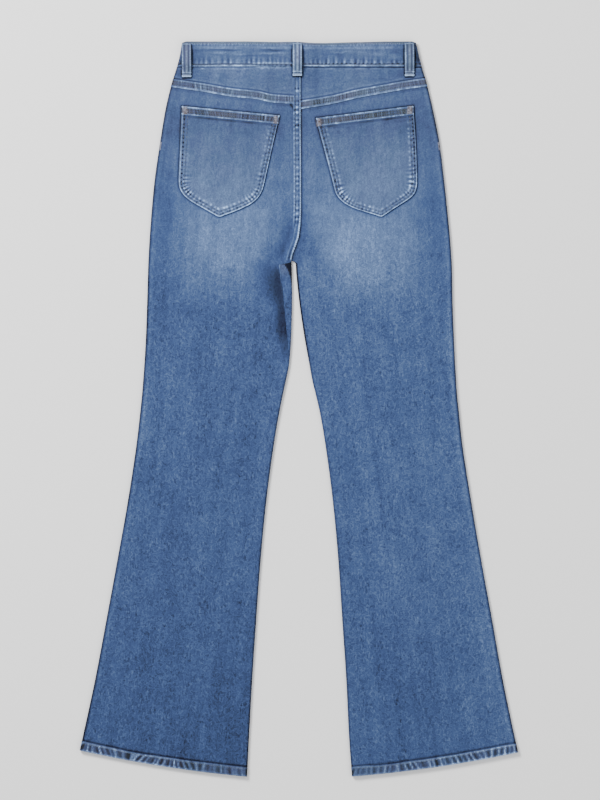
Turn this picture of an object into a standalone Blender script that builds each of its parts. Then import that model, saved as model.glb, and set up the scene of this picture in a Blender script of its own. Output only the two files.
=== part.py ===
import math

import bmesh
import bpy
from mathutils import Vector

NAME = "jeans_laid_flat"
MM = 0.001

# Sizes in millimetres. "down" is measured from the back waist edge towards the hem,
# x runs across the garment, z up from the surface that it lies on.
HALF_LENGTH = 551.25
WALL = 1.2
GAP = 0.3
RAISED = 1.0
SIDE_RADIUS = 2.5
WAIST_RADIUS = 2.9
SAG = 0.5

CROTCH_CLOSED = 328.8
CROTCH_OPEN = 331.2
HEM_HEIGHT = 12.6
HEM_BOW = 4.3

BAND_HEIGHT = 37.2
BAND_WALL = 2.4
BAND_RADIUS = 3.5
FRONT_DIP = 10.0
LAP_END = 3.0
UNDERLAP_END = -38.0
UNDERLAP_START = 16.0
UNDERLAP_RISE = 2.7

BUTTON_X = -15.0
BUTTON_DOWN = 28.0
BUTTON_RADIUS = 8.5
BUTTON_HEIGHT = 2.5
BUTTON_LIFT = 2.8

LOOP_THICKNESS = 2.0
LOOP_GAP = 2.8
FRONT_LOOP_X = 64.0
FRONT_LOOP_WIDTH = 14.0
FRONT_LOOP_LENGTH = 51.0
FRONT_LOOP_LIFT = 2.3

MOUTH_WIDTH = 84.0
MOUTH_DEPTH = 75.0
FACING_DEPTH = 1.5
FACING_MARGIN = 10.0

CENTRE_BAND = 9.6
POCKET_HEM = 13.0

DOWN = 0
LEFT_OUTER = 1
LEFT_INNER = 2
RIGHT_INNER = 3
RIGHT_OUTER = 4
# down, left outer, left inner, right inner, right outer
SECTIONS = (
    (0.0, -175.4, 2.2, 2.2, 175.6),
    (18.0, -178.4, 2.2, 2.2, 179.2),
    (36.0, -182.8, 2.2, 2.2, 183.8),
    (64.0, -191.4, 2.2, 2.2, 191.9),
    (103.0, -200.7, 2.2, 2.2, 201.2),
    (148.0, -208.1, 2.4, 2.4, 210.2),
    (208.0, -216.8, 2.8, 2.8, 217.8),
    (238.0, -219.8, 2.8, 2.8, 221.1),
    (268.0, -222.3, 2.2, 2.2, 224.1),
    (291.0, -224.0, -0.2, -0.2, 226.3),
    (306.0, -224.9, -4.8, -4.8, 227.5),
    (318.0, -225.6, -9.2, -9.2, 228.3),
    (328.8, -226.1, -11.2, -11.2, 229.0),
    (331.2, -226.2, -11.2, -5.3, 229.2),
    (345.0, -226.7, -10.8, -4.4, 229.6),
    (388.0, -227.9, -10.4, 0.0, 230.4),
    (440.0, -229.7, -11.6, 7.5, 232.3),
    (485.0, -232.2, -15.0, 15.6, 234.4),
    (508.0, -233.9, -19.5, 19.8, 235.8),
    (530.0, -235.7, -24.2, 25.1, 237.3),
    (553.0, -238.1, -28.8, 30.5, 239.7),
    (598.0, -243.2, -36.6, 38.4, 244.4),
    (688.0, -256.7, -48.8, 50.4, 258.2),
    (778.0, -272.7, -57.6, 58.8, 273.5),
    (868.0, -289.2, -64.2, 64.8, 290.0),
    (958.0, -306.2, -70.2, 70.8, 306.0),
    (1048.0, -325.6, -75.2, 75.3, 324.8),
    (1103.0, -337.5, -78.0, 79.5, 337.4),
)

# down, how far the left inside leg seam lies on top of the fold
LEFT_ROLL = (
    (328.8, 0.0),
    (331.2, 3.0),
    (335.0, 19.0),
    (345.0, 18.0),
    (370.0, 15.5),
    (400.0, 13.0),
    (425.0, 10.0),
    (455.0, 6.0),
    (485.0, 0.0),
)

# x across, down: the seam between yoke and leg
LEFT_YOKE_SEAM = (
    (-190.5, 68.4),
    (-144.1, 75.2),
    (-101.4, 82.5),
    (-61.2, 87.0),
    (-41.1, 91.4),
    (2.2, 94.2),
)
RIGHT_YOKE_SEAM = (
    (2.2, 101.6),
    (51.2, 93.3),
    (87.0, 84.8),
    (122.9, 78.2),
    (158.7, 71.8),
    (190.5, 67.3),
)

# outer down, inner down of each row of the leg below the yoke
LEG_ROWS = (
    (100.0, 120.0),
    (138.0, 154.0),
    (178.0, 189.0),
    (218.0, 225.0),
    (255.0, 259.0),
    (285.0, 287.0),
    (305.0, 306.0),
    (318.0, 318.5),
    (328.8, 328.8),
    (331.2, 331.2),
    (335.0, 335.0),
    (345.0, 345.0),
    (362.0, 362.0),
    (388.0, 388.0),
    (416.0, 416.0),
    (444.0, 444.0),
    (468.0, 468.0),
    (492.0, 492.0),
    (518.0, 518.0),
    (546.0, 546.0),
    (584.0, 585.0),
    (634.0, 637.0),
    (690.0, 696.0),
    (748.0, 758.0),
    (808.0, 823.0),
    (868.0, 889.0),
    (928.0, 955.0),
    (985.0, 1018.0),
    (1026.0, 1063.0),
)

# x start, down start, x end, down end, half width, height of the soft folds
FOLDS = (
    (-6.0, 262.0, -30.0, 331.0, 9.0, -1.5),
    (-30.0, 331.0, -24.0, 452.0, 10.0, -1.5),
    (-58.0, 285.0, -50.0, 420.0, 16.0, 0.6),
    (26.0, 296.0, 40.0, 376.0, 11.0, -0.8),
    (14.0, 330.0, 30.0, 470.0, 11.0, 0.5),
    (66.0, 425.0, 80.0, 535.0, 14.0, -0.7),
    (-130.0, 426.0, -76.0, 440.0, 14.0, -0.5),
    (-112.0, 170.0, -112.0, 310.0, 62.0, 0.8),
    (112.0, 170.0, 116.0, 310.0, 62.0, 0.8),
    (-128.0, 520.0, -176.0, 980.0, 34.0, 0.8),
    (-206.0, 640.0, -246.0, 1020.0, 24.0, -0.6),
    (-92.0, 600.0, -112.0, 900.0, 22.0, -0.5),
    (132.0, 560.0, 186.0, 1000.0, 36.0, 0.8),
    (98.0, 620.0, 122.0, 1020.0, 24.0, -0.6),
    (226.0, 700.0, 262.0, 1010.0, 22.0, -0.4),
)

# name, top x, bottom x, width, top down, bottom down
BACK_LOOPS = (
    ("belt_loop_back_left", -168.9, -168.5, 14.0, 2.0, 53.4),
    ("belt_loop_back", -2.4, -2.4, 13.8, 1.4, 51.8),
    ("belt_loop_back_right", 165.6, 165.9, 14.2, 0.9, 52.0),
)

# fraction along the edge, x across, down
LEFT_POCKET_SIDE = ((0.0, -175.8, 96.8), (0.5, -178.2, 152.0), (1.0, -180.8, 206.0))
LEFT_POCKET_CENTRE = ((0.0, -29.3, 110.9), (0.5, -41.1, 162.0), (1.0, -52.2, 212.0))
LEFT_POCKET_BOTTOM = (
    (0.0, -180.8, 206.0),
    (0.06, -179.9, 216.0),
    (0.13, -175.6, 226.6),
    (0.21, -168.0, 235.0),
    (0.29, -156.6, 242.8),
    (0.38, -140.6, 251.8),
    (0.46, -127.0, 259.6),
    (0.5, -119.7, 262.9),
    (0.55, -111.0, 260.0),
    (0.64, -98.0, 255.4),
    (0.74, -84.1, 249.4),
    (0.84, -70.6, 242.2),
    (0.91, -61.2, 233.2),
    (0.96, -55.4, 223.2),
    (1.0, -52.2, 212.0),
)
RIGHT_POCKET_SIDE = ((0.0, 171.3, 96.5), (0.5, 175.0, 151.0), (1.0, 177.0, 204.0))
RIGHT_POCKET_CENTRE = ((0.0, 25.0, 114.8), (0.5, 39.1, 167.0), (1.0, 52.6, 219.0))
RIGHT_POCKET_BOTTOM = (
    (0.0, 177.0, 204.0),
    (0.06, 176.9, 213.0),
    (0.13, 174.8, 224.0),
    (0.21, 168.6, 232.9),
    (0.29, 157.8, 240.6),
    (0.38, 143.6, 249.6),
    (0.46, 130.6, 258.3),
    (0.5, 123.3, 262.4),
    (0.55, 113.5, 259.6),
    (0.64, 99.5, 255.4),
    (0.74, 84.6, 250.6),
    (0.84, 70.2, 243.6),
    (0.91, 60.6, 235.4),
    (0.96, 55.2, 227.6),
    (1.0, 52.6, 219.0),
)
POCKET_COLUMNS = (0.0, 0.06, 0.13, 0.21, 0.29, 0.38, 0.46, 0.5, 0.55, 0.64, 0.74, 0.84, 0.91, 0.96, 1.0)

DENIM = (0.115, 0.19, 0.33)
DENIM_TRIM = (0.16, 0.235, 0.36)
BUTTON_METAL = (0.42, 0.31, 0.2)


def smooth(value):
    t = min(1.0, max(0.0, value))
    return t * t * (3.0 - 2.0 * t)


def mix(a, b, t):
    return a + (b - a) * t


def curve(rows, key, column):
    """Smooth value of one column of a table at a key in its first column."""
    last = len(rows) - 1
    if key <= rows[0][0]:
        return rows[0][column]
    if key >= rows[last][0]:
        return rows[last][column]
    i = 0
    while rows[i + 1][0] < key:
        i += 1
    k0, k1 = rows[i][0], rows[i + 1][0]
    v0, v1 = rows[i][column], rows[i + 1][column]
    step = (v1 - v0) / (k1 - k0)
    before = step
    after = step
    if i > 0:
        before = (v0 - rows[i - 1][column]) / (k0 - rows[i - 1][0])
    if i + 2 <= last:
        after = (rows[i + 2][column] - v1) / (rows[i + 2][0] - k1)
    slope0 = 0.0 if before * step <= 0.0 else 2.0 * before * step / (before + step)
    slope1 = 0.0 if after * step <= 0.0 else 2.0 * after * step / (after + step)
    t = (key - k0) / (k1 - k0)
    span = k1 - k0
    h00 = (1.0 + 2.0 * t) * (1.0 - t) * (1.0 - t)
    h10 = t * (1.0 - t) * (1.0 - t)
    h01 = t * t * (3.0 - 2.0 * t)
    h11 = t * t * (t - 1.0)
    return h00 * v0 + h10 * span * slope0 + h01 * v1 + h11 * span * slope1


def along(values, t):
    """Value of a list between its entries."""
    i = int(min(max(math.floor(t), 0), len(values) - 2))
    return mix(values[i], values[i + 1], t - i)


def outer_edge(side, down):
    return curve(SECTIONS, down, LEFT_OUTER if side < 0 else RIGHT_OUTER)


def inner_edge(side, down):
    return curve(SECTIONS, down, LEFT_INNER if side < 0 else RIGHT_INNER)


def front_inner_edge(side, down):
    """The centre front seam runs straight until it meets the crotch."""
    share = smooth((down - 235.0) / 75.0)
    return mix(0.0, inner_edge(side, down), share)


def turn(down):
    """How far the centre seam has turned over into the fold between the legs."""
    return 0.5 * math.pi * smooth((down - 296.0) / 32.0)


def side_radius(down):
    return mix(WAIST_RADIUS, SIDE_RADIUS, smooth((down - BAND_HEIGHT) / 50.0))


def front_dip(x):
    if abs(x) > 176.0:
        return 0.0
    return FRONT_DIP * math.cos(0.5 * math.pi * x / 176.0) ** 2


def lift(x, down):
    """Cloth raised over the button and the front loops that it lies on."""
    reach = math.hypot(x - BUTTON_X, down - BUTTON_DOWN)
    total = BUTTON_LIFT * (1.0 - smooth((reach - 11.0) / 38.0))
    for centre in (-FRONT_LOOP_X, FRONT_LOOP_X):
        across = max(abs(x - centre) - 12.0, 0.0)
        below = max(down - 66.0, 0.0)
        total += FRONT_LOOP_LIFT * (1.0 - smooth(math.hypot(across, below) / 22.0))
    return total


def soft_folds(x, down):
    total = 0.0
    for x0, d0, x1, d1, half_width, height in FOLDS:
        dx = x1 - x0
        dd = d1 - d0
        length = math.hypot(dx, dd)
        t = ((x - x0) * dx + (down - d0) * dd) / (length * length)
        off = abs((x - x0) * dd - (down - d0) * dx) / length
        if off > 2.6 * half_width or t < -0.4 or t > 1.4:
            continue
        end = min(t, 1.0 - t) * length
        total += height * math.exp(-(off / half_width) ** 2) * smooth(0.5 + end / (2.0 * half_width))
    return total


def edge_share(side, x, down, width):
    """One inside a panel, none at its folded edges."""
    radius = side_radius(down)
    share = smooth((abs(x - outer_edge(side, down)) - radius) / width)
    inside = smooth((abs(x - inner_edge(side, down)) - radius) / width)
    return share * mix(1.0, inside, smooth((down - 300.0) / 29.0))


def back_height(side, x, down):
    """Height of the outer face of the upper cloth."""
    z = 2.0 * side_radius(down)
    z -= SAG * edge_share(side, x, down, 22.0)
    z += soft_folds(x, down) * edge_share(side, x, down, 14.0)
    over_lap = 1.0 - smooth((abs(x + 17.0) - 30.0) / 30.0)
    z += 1.8 * over_lap * (1.0 - smooth((down - 48.0) / 30.0))
    return z + lift(x, down)


def band_height(x, down):
    """Height of the outer face of the waistband's upper side."""
    left = x - outer_edge(-1, down)
    right = outer_edge(1, down) - x
    z = 2.0 * BAND_RADIUS - 0.7 * smooth((min(left, right) - BAND_RADIUS) / 40.0)
    z += 2.2 * (1.0 - smooth((abs(x + 17.0) - 30.0) / 30.0))
    return z + lift(x, down)


def under_height(x, down):
    return lift(x, down)


class Row:
    """One row across a panel, from the outer edge to the inner edge."""

    def __init__(self, side, face, outer_down, inner_down, bow):
        self.side = side
        self.face = face
        self.outer_down = outer_down
        self.inner_down = inner_down
        self.bow = bow
        self.outer_x = outer_edge(side, outer_down)
        angle = max(turn(inner_down), 0.001)
        edge = inner_edge(side, inner_down) if face > 0 else front_inner_edge(side, inner_down)
        closed = 1.0 - smooth((inner_down - CROTCH_CLOSED) / (CROTCH_OPEN - CROTCH_CLOSED))
        self.inner_x = edge + side * 0.5 * GAP * math.sin(angle) * closed
        self.width = abs(self.inner_x - self.outer_x)
        self.outer_radius = side_radius(outer_down)
        self.inner_radius = side_radius(inner_down)
        self.turn_length = 0.5 * math.pi * self.inner_radius
        self.bend = angle / self.turn_length
        self.turn_width = math.sin(angle) / self.bend

    def down_at(self, q):
        share = min(1.0, max(0.0, q / self.width))
        return mix(self.outer_down, self.inner_down, share) + self.bow(share)

    def place(self, q, height_share, face):
        x = self.outer_x - self.side * q
        down = self.down_at(q)
        middle = mix(self.outer_radius, self.inner_radius, min(1.0, max(0.0, q / self.width)))
        if face > 0:
            top = back_height(self.side, x, down)
        else:
            top = under_height(x, down)
        return Vector((x, HALF_LENGTH - down, mix(top, middle, height_share)))

    def outer_turn(self, angle):
        """Angle none at the side seam, a right angle where the panel lies flat."""
        q = self.outer_radius * (1.0 - math.cos(angle))
        return self.place(q, 1.0 - math.sin(angle), self.face)

    def flat(self, share):
        start = self.outer_radius
        end = self.width - self.turn_width
        return self.place(mix(start, end, share), 0.0, self.face)

    def inner_turn(self, reach):
        """Reach along the cloth from the middle of the inner edge, up is positive."""
        face = 1 if reach > 0.0 else -1
        off = abs(reach)
        if off >= self.turn_length:
            q = self.width - self.turn_width - (off - self.turn_length)
            return self.place(q, 0.0, face)
        arc = self.bend * (self.turn_length - off)
        q = self.width - self.turn_width + math.sin(arc) / self.bend
        share = (1.0 - math.cos(arc)) / (self.bend * self.inner_radius)
        return self.place(q, share, face)


def no_bow(share):
    return 0.0


def hem_bow(share):
    return HEM_BOW * 4.0 * share * (1.0 - share)


def hem_ends(side):
    return (1063.4, 1102.8) if side < 0 else (1066.2, 1102.6)


def yoke_ends(side):
    table = LEFT_YOKE_SEAM if side < 0 else RIGHT_YOKE_SEAM
    outer = table[0][1] if side < 0 else table[-1][1]
    inner = table[-1][1] if side < 0 else table[0][1]
    return outer, inner


def yoke_bow(side):
    """Departure of the yoke seam from the straight line between its ends."""
    table = LEFT_YOKE_SEAM if side < 0 else RIGHT_YOKE_SEAM
    outer, inner = yoke_ends(side)

    def bow(share):
        x = mix(side * 190.5, 2.2, share)
        return curve(table, x, 1) - mix(outer, inner, share)

    return bow


def make_rows(side, face, table):
    """Rows of a table: outer down, inner down, bow and how much of it."""
    def row_at(v):
        i = int(min(max(math.floor(v), 0), len(table) - 2))
        t = v - i
        first = table[i]
        second = table[i + 1]
        bow_a, share_a = first[2], first[3]
        bow_b, share_b = second[2], second[3]

        def bow(share):
            return mix(bow_a(share) * share_a, bow_b(share) * share_b, t)

        return Row(side, face, mix(first[0], second[0], t), mix(first[1], second[1], t), bow)

    return row_at


def collection_for(name):
    group = bpy.data.collections.new(name)
    bpy.context.scene.collection.children.link(group)
    return group


def make_material(name, colour, roughness, metallic):
    material = bpy.data.materials.new(name)
    material.use_nodes = True
    shader = material.node_tree.nodes["Principled BSDF"]
    shader.inputs["Base Color"].default_value = (colour[0], colour[1], colour[2], 1.0)
    shader.inputs["Roughness"].default_value = roughness
    shader.inputs["Metallic"].default_value = metallic
    return material


def finish_mesh(bm, name, group, material, shade_smooth):
    bmesh.ops.recalc_face_normals(bm, faces=bm.faces[:])
    mesh = bpy.data.meshes.new(name)
    bm.to_mesh(mesh)
    bm.free()
    mesh.materials.append(material)
    for polygon in mesh.polygons:
        polygon.use_smooth = shade_smooth
    item = bpy.data.objects.new(name, mesh)
    group.objects.link(item)
    return item


def cloth_piece(name, group, material, columns, rows, surface, outward, wall, raised_out, raised_in):
    """Closed cloth wall: a grid laid on a surface, thickened towards the inside."""
    bm = bmesh.new()
    bmesh.ops.create_grid(bm, x_segments=columns, y_segments=rows, size=0.5)
    bm.verts.ensure_lookup_table()
    step = 0.02
    probe = surface(0.5 * columns, 0.5 * rows)
    du = surface(0.5 * columns + step, 0.5 * rows) - probe
    dv = surface(0.5 * columns, 0.5 * rows + step) - probe
    sign = 1.0 if du.cross(dv).z * outward > 0.0 else -1.0
    inner_points = {}
    for vert in bm.verts:
        u = round((vert.co.x + 0.5) * columns)
        v = round((vert.co.y + 0.5) * rows)
        point = surface(u, v)
        u0, u1 = max(u - step, 0.0), min(u + step, columns)
        v0, v1 = max(v - step, 0.0), min(v + step, rows)
        across = (surface(u1, v) - surface(u0, v)).normalized()
        lengthwise = (surface(u, v1) - surface(u, v0)).normalized()
        normal = across.cross(lengthwise) * sign
        normal.y = 0.0
        normal.normalize()
        inner_points[vert.index] = (point - normal * (wall + raised_in(u, v))) * MM
        vert.co = (point + normal * raised_out(u, v)) * MM
    for vert in bm.verts:
        vert.tag = True
    originals = {}
    for vert in bm.verts:
        originals[tuple(vert.co)] = vert.index
    geometry = bm.verts[:] + bm.edges[:] + bm.faces[:]
    result = bmesh.ops.extrude_face_region(bm, geom=geometry, use_keep_orig=True)
    for element in result["geom"]:
        if isinstance(element, bmesh.types.BMVert):
            element.co = inner_points[originals[tuple(element.co)]]
    return finish_mesh(bm, name, group, material, True)


TURN_ANGLES = (30.0, 60.0, 90.0)


def panel_surface(row_at, flats, reaches):
    """Columns: the side fold, the flat part, then reaches along the inner edge."""
    count = len(TURN_ANGLES)
    shares = (0.0,) + flats

    def surface(u, v):
        row = row_at(v)
        if u <= count:
            first = math.degrees(math.asin(0.5 * GAP / row.outer_radius))
            return row.outer_turn(math.radians(along((first,) + TURN_ANGLES, u)))
        values = [reach(row) for reach in reaches]
        if u <= count + len(flats):
            start = row.outer_radius
            end = row.width - row.turn_width - (abs(values[0]) - row.turn_length)
            return row.place(mix(start, end, along(shares, u - count)), 0.0, row.face)
        return row.inner_turn(along(values, u - count - len(flats)))

    return surface


def left_roll(row):
    return curve(LEFT_ROLL, row.inner_down, 1)


def back_reaches(side):
    """Upper panel: to the centre band, across it, over the inner fold."""
    end = 0.5 * GAP

    def roll(row):
        return left_roll(row) if side < 0 else 0.0

    reaches = []
    if side < 0:
        reaches.append(lambda row: roll(row) + CENTRE_BAND + 0.6)
        reaches.append(lambda row: roll(row) + CENTRE_BAND)
    for part in (1.0, 0.67, 0.33):
        reaches.append(lambda row, part=part: roll(row) + mix(end, row.turn_length, part))
    reaches.append(lambda row: roll(row) + end)
    return reaches


def front_reaches(side):
    """Lower panel: round the inner fold, on the left a little way on to the top."""
    end = 0.5 * GAP
    reaches = [
        lambda row: -row.turn_length,
        lambda row: -0.67 * row.turn_length,
        lambda row: -0.33 * row.turn_length,
    ]
    if side > 0:
        reaches.append(lambda row: -end)
        return reaches

    def tip(row):
        return left_roll(row) - end

    def top_start(row):
        start = -0.33 * row.turn_length
        return min(row.turn_length, tip(row) - 0.1 * (tip(row) - start))

    for part in (0.25, 0.5, 0.75, 1.0):
        reaches.append(lambda row, part=part: mix(-0.33 * row.turn_length, top_start(row), part))
    reaches.append(lambda row: 0.5 * (top_start(row) + tip(row)))
    reaches.append(tip)
    return reaches


def none_raised(u, v):
    return 0.0


LEFT_BACK_FLATS = (0.07, 0.17, 0.3, 0.43, 0.56, 0.69, 0.81, 0.9, 0.96, 1.0)
RIGHT_BACK_FLATS = (0.07, 0.17, 0.3, 0.43, 0.56, 0.69, 0.81, 0.9, 1.0)
YOKE_FLATS = (0.07, 0.18, 0.32, 0.44, 0.53, 0.61, 0.69, 0.77, 0.85, 0.93, 1.0)


def back_flats(side):
    return LEFT_BACK_FLATS if side < 0 else RIGHT_BACK_FLATS


def back_column_count(side, flats):
    return len(TURN_ANGLES) + len(flats) + len(back_reaches(side)) - 1


def turn_share(u, columns, inner_steps):
    """None at a folded edge, one where the panel lies flat."""
    outer = min(1.0, u / len(TURN_ANGLES))
    inner = min(1.0, (columns - u) / inner_steps)
    return math.sin(0.5 * math.pi * outer) * math.sin(0.5 * math.pi * inner)


def leg_table(side, first_rows):
    outer, inner = hem_ends(side)
    table = list(first_rows)
    for outer_down, inner_down in LEG_ROWS:
        share = smooth((outer_down - 900.0) / 160.0)
        table.append((outer_down, inner_down, hem_bow, share))
    table.append((outer - HEM_HEIGHT - 0.6, inner - HEM_HEIGHT - 0.6, hem_bow, 1.0))
    table.append((outer - HEM_HEIGHT, inner - HEM_HEIGHT, hem_bow, 1.0))
    table.append((outer, inner, hem_bow, 1.0))
    return table


def build_back_leg(side, group, material):
    outer, inner = yoke_ends(side)
    table = leg_table(side, [(outer + GAP, inner + GAP, yoke_bow(side), 1.0)])
    row_at = make_rows(side, 1, table)
    columns = back_column_count(side, back_flats(side))
    rows = len(table) - 1
    surface = panel_surface(row_at, back_flats(side), back_reaches(side))

    def raised(u, v):
        if v >= rows - 1:
            return RAISED * turn_share(u, columns, 3)
        if side < 0 and u >= columns - 4:
            return RAISED * (1.0 - smooth((row_at(v).inner_down - 300.0) / 27.0))
        return 0.0

    name = "back_leg_left" if side < 0 else "back_leg_right"
    return cloth_piece(name, group, material, columns, rows, surface, 1, WALL, raised, none_raised)


def build_yoke(side, group, material):
    outer, inner = yoke_ends(side)
    band_outer, band_inner = (12.6, 12.8) if side < 0 else (12.8, 13.0)
    bow = yoke_bow(side)
    table = [
        (BAND_HEIGHT + GAP, BAND_HEIGHT + GAP, no_bow, 0.0),
        (41.0, 44.0, bow, 0.1),
        (46.0, 54.0, bow, 0.3),
        (50.0, 65.0, bow, 0.6),
        (outer - band_outer - 0.6, inner - band_inner - 0.6, bow, 1.0),
        (outer - band_outer, inner - band_inner, bow, 1.0),
        (outer, inner, bow, 1.0),
    ]
    row_at = make_rows(side, 1, table)
    columns = back_column_count(side, YOKE_FLATS)
    rows = len(table) - 1
    surface = panel_surface(row_at, YOKE_FLATS, back_reaches(side))

    def raised(u, v):
        in_centre = side < 0 and u >= columns - 4
        if v >= rows - 1:
            return RAISED * math.sin(0.5 * math.pi * min(1.0, u / len(TURN_ANGLES)))
        return RAISED if in_centre else 0.0

    name = "yoke_left" if side < 0 else "yoke_right"
    return cloth_piece(name, group, material, columns, rows, surface, 1, WALL, raised, none_raised)


def mouth_down(x):
    """Lower edge of the front pocket mouth."""
    off = min(1.0, max(0.0, (187.0 - abs(x)) / MOUTH_WIDTH))
    return BAND_HEIGHT + MOUTH_DEPTH * math.sqrt(1.0 - off * off)


def build_mouth_cutter(side, helpers):
    """Prism that takes the pocket mouth out of the front leg."""
    bm = bmesh.new()
    steps = 10
    bmesh.ops.create_grid(bm, x_segments=steps + 1, y_segments=1, size=0.5)
    for vert in bm.verts:
        u = round((vert.co.x + 0.5) * (steps + 1))
        angle = 0.5 * math.pi * min(1.0, u / steps)
        x = 187.0 - MOUTH_WIDTH * math.cos(angle)
        if u > steps:
            x = 240.0
        down = 20.0 if vert.co.y < 0.0 else BAND_HEIGHT + MOUTH_DEPTH * math.sin(angle)
        vert.co = Vector((side * x, HALF_LENGTH - down, -6.0)) * MM
    geometry = bm.verts[:] + bm.edges[:] + bm.faces[:]
    result = bmesh.ops.extrude_face_region(bm, geom=geometry, use_keep_orig=True)
    for element in result["geom"]:
        if isinstance(element, bmesh.types.BMVert):
            element.co.z += 14.0 * MM
    bmesh.ops.recalc_face_normals(bm, faces=bm.faces[:])
    name = "mouth_cutter_left" if side < 0 else "mouth_cutter_right"
    mesh = bpy.data.meshes.new(name)
    bm.to_mesh(mesh)
    bm.free()
    item = bpy.data.objects.new(name, mesh)
    item.hide_render = True
    item.display_type = "WIRE"
    helpers.objects.link(item)
    return item


FRONT_FLATS = (0.08, 0.2, 0.35, 0.48, 0.56, 0.64, 0.72, 0.81, 0.9, 1.0)


def build_front_leg(side, group, helpers, material):
    outer = BAND_HEIGHT + GAP
    inner = BAND_HEIGHT + FRONT_DIP + GAP

    def dip_bow(share):
        x = mix(side * 183.0, 0.0, share)
        return front_dip(x) - FRONT_DIP * share

    table = leg_table(side, [
        (outer, inner, dip_bow, 1.0),
        (44.0, 54.0, dip_bow, 1.0),
        (54.0, 64.0, dip_bow, 0.8),
        (65.0, 76.0, dip_bow, 0.5),
        (79.0, 92.0, dip_bow, 0.2),
    ])
    row_at = make_rows(side, -1, table)
    reaches = front_reaches(side)
    columns = len(TURN_ANGLES) + len(FRONT_FLATS) + len(reaches) - 1
    rows = len(table) - 1
    surface = panel_surface(row_at, FRONT_FLATS, reaches)

    def raised_in(u, v):
        if v >= rows - 1:
            return RAISED * turn_share(u, columns, len(reaches) - 1)
        return 0.0

    name = "front_leg_left" if side < 0 else "front_leg_right"
    leg = cloth_piece(name, group, material, columns, rows, surface, -1, WALL, none_raised, raised_in)
    cut = leg.modifiers.new("pocket_mouth", "BOOLEAN")
    cut.operation = "DIFFERENCE"
    cut.solver = "EXACT"
    cut.object = build_mouth_cutter(side, helpers)
    return leg


def build_pocket_facing(side, group, material):
    """Cloth seen in the front pocket mouth, flush at the side, deeper inside."""
    offsets = (3.4, 5.4, 7.4, 10.4, 16.0, 30.0, 46.0, 60.0, 72.0, 82.0, 90.0)
    turns = len(TURN_ANGLES)
    columns = turns + len(offsets)
    rows = 8

    def end_down(q):
        margin = mix(-GAP, FACING_MARGIN, smooth((q - 10.4) / 5.6))
        down = mouth_down(180.0)
        for _ in range(4):
            x = outer_edge(side, down) - side * q
            down = mouth_down(x) + margin
        return down

    def surface(u, v):
        first = math.degrees(math.asin(0.5 * GAP / WAIST_RADIUS))
        angle = 0.5 * math.pi
        q = None
        if u <= turns:
            angle = math.radians(along((first,) + TURN_ANGLES, u))
        else:
            q = along((SIDE_RADIUS,) + offsets, u - turns)
        start_x = outer_edge(side, BAND_HEIGHT) - side * (q or 0.0)
        top = BAND_HEIGHT + GAP + front_dip(start_x)
        down = mix(top, end_down(q or 0.0), v / rows)
        radius = side_radius(down)
        if q is None:
            q = radius * (1.0 - math.cos(angle))
        else:
            q = max(q, radius + (q - SIDE_RADIUS) * 0.9) if q < 6.0 else q
        x = outer_edge(side, down) - side * q
        flat = under_height(x, down) + FACING_DEPTH * smooth((q - radius - 0.4) / 6.8)
        return Vector((x, HALF_LENGTH - down, mix(flat, radius, 1.0 - math.sin(angle))))

    name = "front_pocket_facing_left" if side < 0 else "front_pocket_facing_right"
    return cloth_piece(name, group, material, columns, rows, surface, -1, WALL, none_raised, none_raised)


BAND_UNDER_LEFT = (3.0, -6.0, -15.0, -24.0, -34.0, -44.0, -53.0, -64.0, -75.0, -84.0, -95.0, -110.0,
                   -127.0, -145.0, -162.0)
BAND_TOP = (-160.0, -128.0, -96.0, -84.0, -73.0, -60.0, -46.0, -32.0, -15.0, 0.0, 14.0, 28.0, 44.0,
            56.0, 73.0, 84.0, 96.0, 128.0, 160.0)
BAND_UNDER_RIGHT = (162.0, 145.0, 127.0, 110.0, 95.0, 84.0, 75.0, 64.0, 53.0, 44.0, 32.0, 22.0, 16.0, 13.0, 9.0,
                    5.0, 0.0, -8.0, -18.0, -28.0, -38.0)


def build_waistband(group, material):
    """One strip: left lap end, round both sides, and under its own left end."""
    turns = 6

    def edges(down):
        return outer_edge(-1, down), outer_edge(1, down)

    left_end = len(BAND_UNDER_LEFT)
    first_turn = left_end + turns
    top_end = first_turn + len(BAND_TOP) + 1
    second_turn = top_end + turns
    columns = second_turn + len(BAND_UNDER_RIGHT)

    def lower(x, down):
        under = UNDERLAP_RISE
        return under * (1.0 - smooth((x - 4.0) / (UNDERLAP_START - 4.0)))

    def surface(u, v):
        back_down = mix(0.0, BAND_HEIGHT, v / 3.0)
        left, right = edges(back_down)
        radius = BAND_RADIUS
        if u < left_end:
            x = along(BAND_UNDER_LEFT + (left + radius,), u)
            down = back_down + front_dip(x)
            return Vector((x, HALF_LENGTH - down, lift(x, down)))
        if u <= first_turn:
            angle = math.pi * (u - left_end) / turns
            x = left + radius - radius * math.sin(angle)
            return Vector((x, HALF_LENGTH - back_down, radius - radius * math.cos(angle)))
        if u <= top_end:
            x = along((left + radius,) + BAND_TOP + (right - radius,), u - first_turn)
            return Vector((x, HALF_LENGTH - back_down, band_height(x, back_down)))
        if u <= second_turn:
            angle = math.pi * (u - top_end) / turns
            x = right - radius + radius * math.sin(angle)
            return Vector((x, HALF_LENGTH - back_down, radius + radius * math.cos(angle)))
        x = along((right - radius,) + BAND_UNDER_RIGHT, u - second_turn)
        down = back_down + front_dip(x)
        return Vector((x, HALF_LENGTH - down, lift(x, down) + lower(x, down)))

    return cloth_piece("waistband", group, material, columns, 3, surface, 1, BAND_WALL,
                       none_raised, none_raised)


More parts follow.
